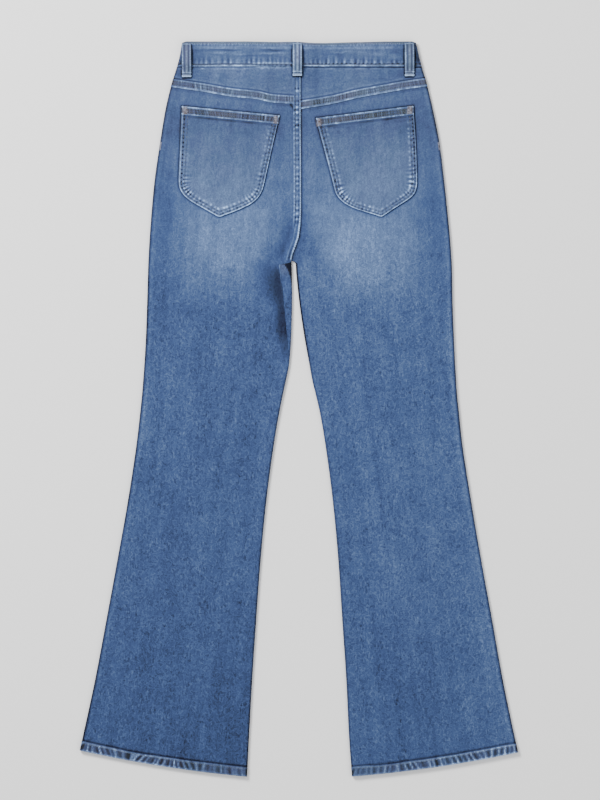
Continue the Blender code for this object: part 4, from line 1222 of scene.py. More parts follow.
def cutMouth(item, side):
    steps = 40
    angles = np.linspace(0.0, 0.5 * math.pi, steps + 1)
    xs = np.append(garment["mouthMiddle"] - garment["mouthAcross"] * np.cos(angles), 240.0) * side
    lows = np.append(garment["bandHeight"] + garment["mouthDeep"] * np.sin(angles), 111.0)
    count = len(xs)
    verts = []
    for z in (-6.0, 8.0):  # from below the front panel to above it
        verts += [(x * mm, (garment["halfLength"] - 20.0) * mm, z * mm) for x in xs]
        verts += [(x * mm, (garment["halfLength"] - low) * mm, z * mm) for x, low in zip(xs, lows)]
    faces = []
    for i in range(count - 1):
        a, b, c, d = i, i + 1, count + i + 1, count + i
        faces.append((a, b, c, d))
        faces.append((d + 2 * count, c + 2 * count, b + 2 * count, a + 2 * count))
        faces.append((b, a, a + 2 * count, b + 2 * count))
        faces.append((d, c, c + 2 * count, d + 2 * count))
    last = count - 1
    faces.append((last, count + last, 3 * count + last, 2 * count + last))
    faces.append((count, 0, 2 * count, 3 * count))
    mesh = bpy.data.meshes.new("mouthShape")
    mesh.from_pydata(verts, [], faces)
    mesh.validate()
    cutter = newItem("mouthShape", mesh)
    fixNormals(cutter)
    cut = item.modifiers.new("mouth", "BOOLEAN")
    cut.operation = "DIFFERENCE"
    cut.solver = "EXACT"
    cut.object = cutter
    bpy.context.view_layer.update()
    shaped = item.evaluated_get(bpy.context.evaluated_depsgraph_get())
    shaped = bpy.data.meshes.new_from_object(shaped)
    item.modifiers.clear()
    item.data = shaped
    bpy.data.objects.remove(cutter)


def fixNormals(item):
    bm = bmesh.new()
    bm.from_mesh(item.data)
    bmesh.ops.recalc_face_normals(bm, faces=bm.faces[:])
    bm.to_mesh(item.data)
    bm.free()


facingLook = {"width": 90.0, "rows": 30, "columns": 34, "darker": 0.06, "shade": 0.2}


def makeFacing(side):  # the cloth that shows in the pocket mouth
    flat = np.linspace(12.0, facingLook["width"], facingLook["columns"])
    offsets = np.concatenate((np.array((3.4, 5.4, 7.4, 10.4)), flat))
    q0 = np.concatenate((np.zeros(7), offsets))
    upright = 0.5 * math.pi
    first = math.asin(0.5 * garment["gap"] / garment["waistRadius"])
    angles = np.concatenate((np.linspace(first, upright, 7), np.full(len(offsets), upright)))
    margin = mix(-garment["gap"], 10.0, smooth((q0 - 10.4) / 5.6))
    endDown = mouthDown(np.full(len(q0), 180.0))
    for _ in range(5):  # the mouth's edge moves x, and x moves the edge
        endDown = mouthDown(outerEdge(side, endDown) - side * q0) + margin
    startX = outerEdge(side, garment["bandHeight"]) - side * q0
    top = garment["bandHeight"] + garment["gap"] + dipOfFront(startX)
    down = mix(top[None, :], endDown[None, :], np.linspace(0.0, 1.0, facingLook["rows"])[:, None])
    radius = edgeRadius(down)
    q = np.where(q0 < 1.0, radius * (1.0 - np.cos(angles)), q0 + 0.0 * radius)
    q = np.where((q0 > 1.0) & (q0 < 6.0), np.maximum(q, radius + (q - 2.5) * 0.9), q)
    x = outerEdge(side, down) - side * q
    flat = liftOver(x, down) + 1.5 * smooth((q - radius - 0.4) / 6.8)
    z = mix(flat, radius, 1.0 - np.sin(angles))
    points = np.stack((x, garment["halfLength"] - down, z), axis=-1)
    fadeAndShading = washAndShadingAt(x, down) - facingLook["darker"]
    dyeAndShade = stackDyeAndShade(fadeAndShading, 0.0 * x, 0.0 * x, facingLook["shade"] + 0.0 * x)
    item = shellObject(sided("frontFacing", side), points, -1, garment["wall"], 0.0 * x, dyeAndShade)
    addPiece(item, denimLong, sided("front_pocket_facing_", side))


bandLook = {
    "wall": 2.4,
    "radius": 3.5,
    "lapEnd": 3.0,
    "underlapEnd": -38.0,
    "pitch": 1.5,
    "rows": 44,
    "loopShadowsX": (-168.7, -2.4, 165.8),
}
# x across, strength: the deeper tucks above the lower seam
bandPuckers = (
    (-143.0, 0.5), (-133.0, 0.9), (-124.0, 1.0), (-115.0, 0.9), (-106.0, 0.8), (-96.0, 0.5),
    (-78.0, 0.8), (-71.0, 1.0), (-63.0, 0.9), (-56.0, 0.9), (-47.0, 0.5), (-39.0, 0.4),
    (-26.0, 0.3), (30.0, 0.5), (41.0, 0.8), (52.0, 0.8), (64.0, 0.8), (75.0, 0.9), (86.0, 0.9),
    (97.0, 0.9), (109.0, 0.9), (121.0, 0.7), (130.0, 0.6), (139.0, 0.5), (148.0, 0.5),
)
# x across, down, half length, half width, height: loose creases along the band
bandCreases = (
    (-112.0, 13.2, 26.0, 1.2, -0.55), (-118.0, 16.6, 20.0, 1.3, 0.35),
    (-36.0, 13.6, 15.0, 1.7, -0.7), (-40.0, 17.8, 18.0, 1.4, 0.6), (-88.0, 19.0, 18.0, 1.3, 0.3),
    (-70.0, 22.0, 26.0, 1.4, -0.3), (70.0, 16.0, 24.0, 1.3, 0.25), (120.0, 19.0, 12.0, 2.6, 0.3),
    (142.0, 22.0, 8.0, 4.0, 0.35), (52.0, 20.0, 22.0, 1.6, -0.25),
)
# x across, how far the upper edge dips
bandDip = (
    (-180.0, 0.0), (-84.0, 0.0), (-55.0, 0.6), (-38.0, 1.0), (-16.0, 0.7), (0.0, 0.9), (12.0, 1.7),
    (24.0, 2.3), (40.0, 2.35), (56.0, 2.0), (76.0, 1.4), (95.0, 0.9), (118.0, 0.3), (132.0, 0.0),
    (180.0, 0.0),
)


def makeWaistband():
    radius = bandLook["radius"]
    backDown = np.linspace(0.0, garment["bandHeight"], bandLook["rows"])[:, None]
    left = outerEdge(-1, backDown)
    right = outerEdge(1, backDown)
    pitch = bandLook["pitch"]
    underLeft = np.linspace(0.0, 1.0, int(180.0 / pitch))[None, :-1]
    turns = np.linspace(0.0, math.pi, 17)[None, :-1]
    topShare = np.linspace(0.0, 1.0, int(352.0 / pitch))[None, :-1]
    underRight = np.linspace(0.0, 1.0, int(216.0 / pitch))[None, :]
    # x and height of the left front, the left fold, the back, the right fold and the right front
    parts = (
        (mix(bandLook["lapEnd"], left + radius, underLeft), 0.0),
        (left + radius - radius * np.sin(turns), radius - radius * np.cos(turns)),
        (mix(left + radius, right - radius, topShare), 0.0),
        (right - radius + radius * np.sin(turns), radius + radius * np.cos(turns)),
        (mix(right - radius, bandLook["underlapEnd"], underRight), 0.0),
    )
    turned = np.concatenate([high + 0.0 * x for x, high in parts], axis=1)
    kind = np.concatenate([k + 0.0 * part[0] for k, part in enumerate(parts)], axis=1)
    x = np.concatenate([part[0] for part in parts], axis=1)
    front = (kind == 0.0) | (kind == 4.0)
    down = backDown + np.where(front, dipOfFront(x), 0.0)
    cornerOff = np.minimum(x - left, right - x)
    down = down + 1.7 * (1.0 - smooth(cornerOff / 7.0)) * (1.0 - smooth(backDown / 10.0))
    dip = curve(bandDip, x, 1) * (1.0 - smooth(backDown / 16.0))
    down = down + np.where(kind == 2.0, dip, 0.0)
    rise = 2.7 * (1.0 - smooth((x - 4.0) / 12.0))
    z = np.where(kind == 0.0, liftOver(x, down), turned)
    z = np.where(kind == 2.0, bandHeightAt(x, down), z)
    z = np.where(kind == 4.0, liftOver(x, down) + rise, z)
    points = np.stack((x, garment["halfLength"] - down, z), axis=-1)
    local = backDown + 0.0 * x
    fromLow = garment["bandHeight"] - local + 0.5 * lineNoise(x, 37.0, 69) * (kind == 2.0)
    along = np.where(front, -x, x) + np.where(front, 700.0, 0.0)
    onBack = (kind == 2.0).astype(float)
    pull = ticks(along, 6.6, 61, 1.0)
    for px, strength in bandPuckers:
        pull = pull + onBack * 2.0 * strength * (bump(x, px + 3.4, 1.9) - bump(x, px, 1.6))
    pull = np.clip(pull * mix(1.0, 0.55, onBack), -1.2, 1.0)
    tall = 5.6 + 2.4 * lineNoise(along, 9.0, 62)
    pull = pull * smooth((fromLow - 3.0) / 1.2)
    pull = pull * np.exp(-(np.maximum(fromLow - 6.5, 0.0) / tall) ** 2)
    topPull = ticks(along, 4.6, 63, 1.0) * bump(local, 4.6, 2.0)
    ridge = bump(local, 9.8, 1.6) * (0.7 + 0.5 * lineNoise(along, 22.0, 66))
    creases = np.zeros_like(x)
    for cx, cd, length, width, amount in bandCreases:
        wave = cd + 1.1 * lineNoise(x, 9.0, int(abs(cx)))
        creases += onBack * amount * np.exp(-((x - cx) / length) ** 2) * bump(local, wave, width)
    slack = softNoise(along / 15.0, local / 7.0, 64)
    proud = 0.26 * pull + 0.1 * topPull + 0.16 * ridge + 0.5 * creases + 0.14 * slack
    proud = proud - 0.15 * bump(local, 3.2, 1.0) - 0.15 * bump(fromLow, 1.2, 0.9)
    proud = proud * smooth(local / 2.0) * smooth(fromLow / 1.5)
    proud = np.where(front, np.minimum(proud, 0.0), proud)
    lift = np.maximum(creases, 0.0)
    lowRow = np.clip(0.55 + 0.95 * ticks(along, 6.4, 65, 0.9), 0.0, 1.4)
    wearAndHighlight = 0.36 * np.maximum(pull, 0.0) + 0.2 * np.maximum(topPull, 0.0) + 0.3 * ridge + 0.6 * lift
    rightward = smooth((x + 8.0) / 16.0)
    lowEdge = bump(fromLow, mix(0.3, 1.3, rightward), mix(1.3, 1.0, rightward))
    lowEdge = (0.80 + 0.7 * lineNoise(along, 7.0, 67)) * lowEdge
    nearer = smooth((x + 80.0) / 24.0)
    sideways = (1.0 - nearer) * onBack
    leftward = onBack * nearer * (1.0 - rightward)  # between the left loop and the centre one
    wearAndHighlight = wearAndHighlight + 0.42 * leftward * bump(fromLow, 4.2, 0.9)
    wearAndHighlight = wearAndHighlight + 0.72 * sideways * bump(fromLow, 0.8, 1.2) * (0.9 + 0.5 * lineNoise(x, 8.0, 68))
    wearAndHighlight = wearAndHighlight + mix(0.46, 0.66, rightward) * (1.0 - sideways) * (1.0 - 0.6 * leftward) * lowEdge
    wearAndHighlight = wearAndHighlight + 0.3 * rightward * bump(fromLow, 0.0, 0.7)
    wearAndHighlight = wearAndHighlight + 0.12 * bump(fromLow, 5.4, 1.6) + mix(0.40, 0.26, rightward) * bump(local, 1.2, 1.0)
    wearAndHighlight = wearAndHighlight + onBack * (0.30 * bump(local, 4.6, 1.0) + 0.20 * bump(local, 6.9, 1.3))
    # painted shade in the hollows of the puckers and creases, and along the lower row of stitches
    shade = 0.40 * np.maximum(-pull, 0.0) + 0.2 * np.maximum(-topPull, 0.0)
    shade = shade + 0.55 * np.maximum(-creases, 0.0)
    darkAt = mix(mix(2.9, 3.6, rightward), 1.6, leftward)
    lowDark = bump(fromLow, darkAt, 1.15) * lowRow * (1.0 - sideways)
    shade = shade + mix(0.50, 0.68, rightward) * lowDark + 0.5 * sideways * bump(fromLow, 3.0, 0.9)
    # painted shade along the top edge and where the band folds round its ends
    shade = shade + 0.25 * bump(local, 0.1, 0.7)
    shade = shade + 0.10 * bump(local, 5.4, 1.4)
    shade = shade + 0.12 * bump(local, 6.2, 0.9)
    sides = smooth((np.minimum(x - left, right - x) - 0.5) / 9.0)
    shade = shade + 0.3 * (1.0 - sides) + onBack * 0.05
    tint = 0.85 * bump(local, 1.6, 2.0) + 0.35 * bump(fromLow, 2.6, 2.0) + greyAt(local)
    for loopX in bandLook["loopShadowsX"]:
        off = np.maximum(np.abs(x - loopX) - 7.0, 0.0)
        shade = shade + onBack * 0.95 * np.exp(-(off / 2.2) ** 2) * smooth((local - 3.0) / 4.0)
    dyeAndShade = stackDyeAndShade(washAndShadingAt(x, down * 0.0 + local), wearAndHighlight, tint, shade)
    item = shellObject("waistBand", points, 1, bandLook["wall"], proud, dyeAndShade)
    addPiece(item, denimCross, "waistband")


# fraction along the edge, x across, down
pocketShapes = {
    -1: {
        "outer": ((0.0, -175.8, 96.8), (0.5, -178.2, 152.0), (1.0, -180.8, 206.0)),
        "centre": ((0.0, -29.3, 110.9), (0.5, -41.1, 162.0), (1.0, -52.2, 212.0)),
        "bottom": (
            (0.0, -180.8, 206.0), (0.06, -179.9, 216.0), (0.13, -175.6, 226.6),
            (0.21, -168.0, 235.0), (0.29, -156.6, 242.8), (0.38, -140.6, 251.8),
            (0.46, -127.0, 259.6), (0.5, -119.7, 262.9), (0.55, -111.0, 260.0),
            (0.64, -98.0, 255.4), (0.74, -84.1, 249.4), (0.84, -70.6, 242.2), (0.91, -61.2, 233.2),
            (0.96, -55.4, 223.2), (1.0, -52.2, 212.0),
        ),
    },
    1: {
        "outer": ((0.0, 171.3, 96.5), (0.5, 175.0, 151.0), (1.0, 177.0, 204.0)),
        "centre": ((0.0, 25.0, 114.8), (0.5, 39.1, 167.0), (1.0, 52.6, 219.0)),
        "bottom": (
            (0.0, 177.0, 204.0), (0.06, 176.9, 213.0), (0.13, 174.8, 224.0), (0.21, 168.6, 232.9),
            (0.29, 157.8, 240.6), (0.38, 143.6, 249.6), (0.46, 130.6, 258.3), (0.5, 123.3, 262.4),
            (0.55, 113.5, 259.6), (0.64, 99.5, 255.4), (0.74, 84.6, 250.6), (0.84, 70.2, 243.6),
            (0.91, 60.6, 235.4), (0.96, 55.2, 227.6), (1.0, 52.6, 219.0),
        ),
    },
}
# share of the way round the rim, then how far inside it lie the bright fold, first row of
# stitches, ridge, second row and inner lumps, and how strong the inner three are
pocketRows = {
    -1: (
        (0.0, 1.8, 4.5, 7.4, 9.4, 11.7, 0.25),
        (0.26, 1.8, 4.5, 7.2, 9.2, 11.4, 0.3),
        (0.32, 0.9, 3.4, 6.0, 8.1, 10.4, 1.0),
        (0.42, 0.8, 3.1, 5.0, 7.4, 10.4, 0.9),
        (0.58, 0.8, 3.0, 4.9, 7.3, 10.4, 0.9),
        (0.68, 0.4, 2.3, 3.9, 6.2, 9.2, 1.2),
        (0.78, 0.4, 2.6, 4.9, 6.9, 10.2, 0.75),
        (1.0, 0.4, 2.8, 5.2, 7.2, 10.3, 0.65),
    ),
    1: (
        (0.0, 0.4, 2.6, 4.9, 6.8, 9.7, 0.8),
        (0.26, 0.4, 2.6, 4.9, 6.8, 9.7, 0.9),
        (0.32, 0.8, 3.0, 5.2, 7.4, 9.8, 1.2),
        (0.42, 0.4, 2.3, 4.5, 6.7, 9.3, 0.9),
        (0.58, 0.4, 2.2, 4.5, 6.7, 9.3, 0.8),
        (0.68, 0.8, 3.0, 5.2, 6.9, 8.8, 1.0),
        (0.76, 1.4, 3.9, 6.5, 8.5, 11.0, 0.7),
        (1.0, 1.4, 4.0, 6.7, 8.7, 11.3, 0.6),
    ),
}
pocketLook = {
    "hem": 13.0,
    "hemRows": (4.2, 8.7),  # how far its two rows of stitches lie below the top edge
    "pitch": 0.92,
    "dotPitch": 5.8,
    "rows": 142,
}


def blendPair(a, b, t):
    return mix(a[0], b[0], t), mix(a[1], b[1], t)


def readEdge(table, t):
    return curve(table, t, 1), curve(table, t, 2)


def distanceTo(line, x, y):  # nearest distance to a line of points, and how far along it that is
    start = line[:-1]
    step = line[1:] - start
    length = np.hypot(step[:, 0], step[:, 1])
    before = np.concatenate(((0.0,), np.cumsum(length)[:-1]))
    px = x.ravel()[:, None] - start[None, :, 0]
    py = y.ravel()[:, None] - start[None, :, 1]
    t = np.clip((px * step[:, 0] + py * step[:, 1]) / np.maximum(length * length, 1e-6), 0.0, 1.0)
    off = np.hypot(px - t * step[:, 0], py - t * step[:, 1])
    best = np.argmin(off, axis=1)
    pick = np.arange(len(best))
    place = before[best] + t[pick, best] * length[best]
    return off[pick, best].reshape(x.shape), place.reshape(x.shape)


pocketLines = {}


def makePocket(side):
    shape = pocketShapes[side]
    knots = [row[0] for row in shape["bottom"]]
    s = []
    for a, b in zip(knots[:-1], knots[1:]):
        ends = [np.array(readEdge(shape["bottom"], t)) for t in (a, b)]
        count = max(2, int(round(np.hypot(*(ends[1] - ends[0])) / pocketLook["pitch"])))
        s.extend(np.linspace(a, b, count, endpoint=False))
    s = np.array(s + [1.0])[None, :]
    top = blendPair(readEdge(shape["outer"], 0.0 * s), readEdge(shape["centre"], 0.0 * s), s)
    low = readEdge(shape["bottom"], s)
    length = np.hypot(low[0] - top[0], low[1] - top[1])
    hem = pocketLook["hem"]
    inHem = np.linspace(0.0, 1.0, 17)[:, None] * hem / length
    rest = mix((hem + 0.6) / length, 1.0, np.linspace(0.0, 1.0, pocketLook["rows"])[:, None])
    t = np.concatenate((inHem, rest))
    edges = blendPair(readEdge(shape["outer"], t), readEdge(shape["centre"], t), s)
    last = 0.0 * s + 1.0
    lowCorners = blendPair(readEdge(shape["outer"], last), readEdge(shape["centre"], last), s)
    corners = blendPair(top, lowCorners, t)
    flat = blendPair(top, low, t)
    x = flat[0] + edges[0] - corners[0]
    down = flat[1] + edges[1] - corners[1]
    parts = (np.s_[:, 0], np.s_[-1, 1:-1], np.s_[::-1, -1])  # outer edge, lower edge, inner edge
    line = np.concatenate([lineOf(x[part], down[part]) for part in parts])
    pocketLines[side] = {"rim": line, "top": lineOf(x[0], down[0])}
    off, place = distanceTo(line, x, down)
    fromTop = t * length
    relief = fineRelief(x, down, 1.0) + foldsAt(x, down, smallFolds)
    z = backHeight(side, x, down) + garment["gap"] + garment["wall"] + relief
    points = np.stack((x, garment["halfLength"] - down, z), axis=-1)
    belowHem = smooth((fromTop - hem) / 2.0)
    hemShelf = smooth((hem + 0.3 - fromTop) / 0.6)
    share = place / np.sum(np.hypot(*np.diff(line, axis=0).T))
    columns = (curve(pocketRows[side], share, k) for k in range(1, 7))
    edgeAt, firstAt, ridgeAt, secondAt, lumpAt, strong = columns
    inRim = smooth((secondAt + 1.8 - off) / 1.4)
    corner = bump(share, 0.31, 0.07) + bump(share, 0.69, 0.09)
    lowPart = bump(share, 0.5, 0.16)
    uneven = np.clip(1.0 + 0.35 * lineNoise(place, 24.0, 75 + side), 0.6, 1.3) * belowHem
    pitch = pocketLook["dotPitch"]
    first = 0.10 + 0.95 * marks(place, pitch, 1.5, 71 + side, 0.25)
    first = bump(off, firstAt, 1.45) * first * uneven
    ridge = 0.06 + 0.55 * marks(place + 0.5 * pitch, pitch, 1.6, 72 + side, 0.3)
    ridge = bump(off, ridgeAt, 1.3) * ridge * strong * uneven
    second = 0.06 + 0.85 * marks(place, pitch + 0.3, 1.6, 73 + side, 0.3)
    second = bump(off, secondAt, 1.35) * second * strong * uneven
    lump = 0.02 + 0.62 * marks(place + 2.0, pitch + 0.5, 1.8, 74 + side, 0.3)
    lump = bump(off, lumpAt, 1.7) * lump * strong * uneven
    inward = off - ridgeAt
    fans = ticks(place + 1.7, 6.4, 87 + side, 0.8) * corner * smooth((inward + 1.0) / 1.6)
    fans = fans * np.exp(-(inward / 8.0) ** 2) * belowHem
    band = foldedBand(fromTop, x, hem, 81 + side, pocketLook["hemRows"])
    sag = 0.12 * softNoise(x / 23.0, down / 31.0, 73 + side) * smooth((off - 10.0) / 12.0) * belowHem
    edgeLine = bump(off, edgeAt, 1.0) * (0.9 + 0.25 * lineNoise(place, 8.0, 77 + side))
    proud = garment["raised"] * hemShelf + band["lift"] + belowHem * 0.25 * inRim
    proud = proud + 0.22 * fans - 0.4 * first - 0.3 * second + 0.3 * ridge + 0.3 * lump + sag
    hemEdges = 0.5 * (band["edge"] + band["other"]) * hemShelf
    wearAndHighlight = (0.46 + 0.26 * lowPart) * edgeLine + hemEdges + band["wearAndHighlight"]
    wearAndHighlight = wearAndHighlight + 0.85 * ridge + 0.85 * lump + 0.48 * np.maximum(fans, 0.0)
    # first and second: dots of painted shade in the stitch dimples
    shade = band["shade"] + 0.20 * band["core"] + 1.1 * first + 0.95 * second
    shade = shade + 0.8 * np.maximum(-fans, 0.0)
    # painted shadow under the hem's fold and along a crease below it
    deep = bump(fromTop, hem + 2.0, 1.6) * (0.8 + 0.45 * lineNoise(x, 15.0, 85 + side))
    droop = 1.6 * lineNoise(x, 19.0, 89 + side)
    crease = np.clip(0.2 + lineNoise(x, 22.0, 86 + side), 0.0, 0.8)
    crease = bump(fromTop, hem + 6.4 + droop, 1.4) * crease
    shade = shade + (0.46 * deep + 0.22 * crease) * smooth((off - 2.0) / 5.0)
    tint = 0.75 * band["core"] * (0.85 + 0.4 * lineNoise(x, 12.0, 88 + side))
    fadeAndShading = washAndShadingAt(x, down) + 0.01
    tint = tint + 0.16 * belowHem + 0.4 * greyAt(down)
    dyeAndShade = stackDyeAndShade(fadeAndShading, wearAndHighlight, tint, shade)
    item = shellObject(sided("backPocket", side), points, 1, garment["wall"], proud, dyeAndShade)
    addPiece(item, denimLong, sided("back_pocket_", side))


loopLook = {
    "thickness": 2.0,
    "bridge": 2.8,
    "seat": 0.45,
    "frontWidth": 14.0,
    "frontLength": 51.0,
    "frontTop": 2.0,
    "lighter": 0.07,
}


def loopDyeAndShade(x, down, across, t, length):
    inEdge = (0.5 - np.abs(across)) * loopLook["frontWidth"]
    toEnd = (1.0 - t) * length
    upper = smooth((toEnd - 6.5) / 2.0)
    streaks = softNoise(across * 9.0, t * 2.2, 91)
    ridges = bump(np.abs(across), 0.41, 0.065) + 0.75 * bump(across, 0.02, 0.10) * upper
    valleys = bump(np.abs(across), 0.235, 0.07) * upper
    wearAndHighlight = 0.55 * ridges * (0.9 + 0.3 * softNoise(t * 11.0, across * 3.0, 92))
    wearAndHighlight = wearAndHighlight + 0.12 * np.maximum(streaks, 0.0)
    wearAndHighlight = wearAndHighlight + bump(toEnd, 1.5, 1.5) + 0.35 * bump(toEnd, 6.4, 0.9)
    # painted shade in the grooves inside the edges, above the lower fold and at the top
    shade = 0.52 * valleys + bump(toEnd, 4.2, 0.9) + 0.3 * bump(t * length, 0.4, 1.0)
    fadeAndShading = washAndShadingAt(x, down) + loopLook["lighter"] + 0.05 * streaks
    proud = 0.1 * streaks * smooth(inEdge / 2.0) + 0.12 * ridges - 0.16 * valleys
    proud = proud - 0.25 * bump(toEnd, 4.2, 0.9)
    return stackDyeAndShade(fadeAndShading, wearAndHighlight, 0.60 + 0.25 * bump(across, 0.02, 0.12), shade), proud


def makeBackLoop(entry):
    nodeName, name, topX, lowX, width, topDown, lowDown = entry
    length = lowDown - topDown
    t = np.linspace(0.0, 1.0, 62)[:, None]
    across = np.linspace(-0.5, 0.5, 21)[None, :]
    down = topDown + t * length
    middle = mix(topX, lowX, t)
    x = middle + across * width
    onBand = bandHeightAt(middle, np.minimum(down, garment["bandHeight"]))
    side = -1 if middle[0, 0] < 2.0 else 1
    centre = garment["raised"] if abs(topX) < 20.0 else 0.0
    onYoke = backHeight(side, middle, np.maximum(down, garment["bandHeight"] + 2.0)) + centre
    seat = loopLook["seat"]
    rise = smooth((t - 0.1) / 0.17)
    fall = smooth((down - garment["bandHeight"] + 5.0) / 13.0)
    overBand = onBand + seat + (loopLook["bridge"] - seat) * rise
    z = mix(overBand, onYoke + seat, fall) + loopLook["thickness"]
    z = z - 0.5 * (1.0 - smooth((0.5 - np.abs(across)) / 0.1)) + 0.0 * x
    rounded = 1.8 * smooth((np.abs(across) - 0.28) / 0.22) * (1.0 - smooth(t / 0.1))
    down = down + rounded + 0.0 * x
    points = np.stack((x, garment["halfLength"] - down, z), axis=-1)
    dyeAndShade, proud = loopDyeAndShade(x, down, across + 0.0 * x, t + 0.0 * x, length)
    item = shellObject(name, points, 1, loopLook["thickness"] - 0.5, proud, dyeAndShade)
    addPiece(item, denimLoop, nodeName)


def frontLoopStart(side):
    middle = side * lifts["loopX"]
    return middle, float(dipOfFront(middle)) + loopLook["frontTop"]


def makeFrontLoop(side):
    middle, start = frontLoopStart(side)
    t = np.linspace(0.0, 1.0, 40)[:, None]
    across = np.linspace(-0.5, 0.5, 13)[None, :]
    x = middle + across * loopLook["frontWidth"] + 0.0 * t
    down = start + loopLook["frontLength"] * t + 0.0 * x
    points = np.stack((x, garment["halfLength"] - down, 0.0 * x), axis=-1)
    dyeAndShade, proud = loopDyeAndShade(x, down, across + 0.0 * x, t + 0.0 * x, loopLook["frontLength"])
    name = sided("beltLoopFront", side)
    item = shellObject(name, points, -1, loopLook["thickness"], np.minimum(proud, 0.0) * 0.6, dyeAndShade)
    addPiece(item, denimLoop, sided("belt_loop_front_", side))


buttonLook = {
    "segments": 72,
    "knurls": 24,
    "knurlDepth": 0.07,
    "colours": ((0.36, (0.16, 0.105, 0.06)), (0.62, (0.52, 0.37, 0.21))),
    # radius, height above the surface that the pair lies on
    "profile": (
        (0.0, 1.0), (1.5, 0.95), (2.3, 0.8), (2.8, 0.5), (3.4, 0.42), (5.0, 0.4), (5.4, 0.55),
        (5.8, 0.85), (6.3, 0.85), (6.6, 0.5), (7.0, 0.1), (7.5, 0.0), (8.0, 0.1), (8.4, 0.45),
        (8.5, 0.95), (8.45, 1.6), (8.1, 2.2), (7.4, 2.5), (4.0, 2.5), (0.0, 2.5),
    ),
}


def makeButton():
    profile = buttonLook["profile"]
    count = buttonLook["segments"]
    knurls, depth = buttonLook["knurls"], buttonLook["knurlDepth"]
    verts = [(0.0, 0.0, profile[0][1])]
    for radius, z in profile[1:-1]:
        for k in range(count):
            a = 2.0 * math.pi * k / count
            knurl = depth * math.cos(a * knurls) if 5.7 < radius < 6.4 else 0.0
            verts.append((radius * math.cos(a), radius * math.sin(a), z - knurl))
    verts.append((0.0, 0.0, profile[-1][1]))
    faces = []
    rings = len(profile) - 2
    for k in range(count):
        n = (k + 1) % count
        faces.append((0, 1 + n, 1 + k))
        for r in range(rings - 1):
            a = 1 + r * count
            faces.append((a + k, a + n, a + count + n, a + count + k))
        a = 1 + (rings - 1) * count
        faces.append((a + k, a + n, len(verts) - 1))
    mesh = bpy.data.meshes.new("button")
    where = (lifts["buttonX"], garment["halfLength"] - lifts["buttonDown"], 0.0)
    mesh.from_pydata([tuple((v[i] + where[i]) * mm for i in range(3)) for v in verts], [], faces)
    shadeSmooth(mesh)
    item = newItem("waistButton", mesh)
    fixNormals(item)
    addPiece(item, metalMaterial(), "front_button")


def metalMaterial():
    material, tree, shader = newMaterial("agedBrass")
    place = node(tree, "ShaderNodeTexCoord", -1000, 0).outputs["Object"]
    cloud = noiseNode(tree, place, (420.0, 4.0, 0.6), -800, 200)
    brushed = mappedPlace(tree, place, (1.0, 9.0, 1.0), 0.5, -1000, -300)
    scratch = noiseNode(tree, brushed, (900.0, 2.0, 0.6), -800, -200)
    colour = rampNode(tree, cloud, buttonLook["colours"], -500, 200)
    tree.links.new(colour, shader.inputs["Base Color"])
    shader.inputs["Metallic"].default_value = 1.0
    rough = mathNode(tree, "MULTIPLY", scratch, 0.3, -500, -200)
    rough = mathNode(tree, "ADD", rough, 0.24, -340, -200)
    tree.links.new(rough, shader.inputs["Roughness"])
    reliefNode(tree, scratch, 0.2, 0.0002, shader)
    return material


threadLook = {
    "radius": 0.34,
    "length": 2.5,
    "pitch": 3.5,
    # share of the stitch, height over the cloth and thickness, as shares of the radius
    "bend": ((0.0, -0.35, 0.6), (0.3, 0.5, 1.0), (0.7, 0.5, 1.0), (1.0, -0.35, 0.6)),
    "tackPitch": 0.8,
    "colour": (0.12, 0.165, 0.26),
    "pale": (0.20, 0.30, 0.49),
    "tackColour": (0.085, 0.058, 0.048),
    # darker thread for rows that sink into painted shade: the waistband's lower row, yoke, centre,
    # hem and pocket rows
    "tackPale": (0.26, 0.285, 0.39),
    "shadedColour": (0.036, 0.052, 0.086),
    "shadedPale": (0.115, 0.145, 0.20),
}


def threadMaterial(name, dark, pale, spots=160.0):
    material, tree, shader = newMaterial(name)
    place = node(tree, "ShaderNodeTexCoord", -1000, 0).outputs["Object"]
    cloud = noiseNode(tree, place, (spots, 3.0, 0.6), -800, 200)
    ply = node(tree, "ShaderNodeTexWave", -800, -200)
    ply.inputs["Scale"].default_value = 900.0
    ply.inputs["Distortion"].default_value = 0.8
    twisted = mappedPlace(tree, place, (1.0, 1.0, 0.4), 0.7, -1000, -300)
    tree.links.new(twisted, ply.inputs["Vector"])
    colour = rampNode(tree, cloud, ((0.34, dark), (0.66, pale)), -500, 200)
    tree.links.new(colour, shader.inputs["Base Color"])
    rough = mathNode(tree, "MULTIPLY", ply.outputs["Fac"], 0.2, -500, -100)
    rough = mathNode(tree, "ADD", rough, 0.62, -340, -100)
    tree.links.new(rough, shader.inputs["Roughness"])
    reliefNode(tree, ply.outputs["Fac"], 0.5, 0.0002, shader)
    shader.inputs["Sheen Weight"].default_value = 0.2
    shader.inputs["Specular IOR Level"].default_value = 0.25
    return material


def seatHeight(names, x, y, way):
    start = Vector((x * mm, y * mm, 0.06 * way))
    best = None
    for name in names:
        hit = seatTrees[name].ray_cast(start, Vector((0.0, 0.0, -way)))[0]
        if hit is not None and (best is None or hit.z * way > best * way):
            best = hit.z
    return None if best is None else best * 1000.0  # back to mm


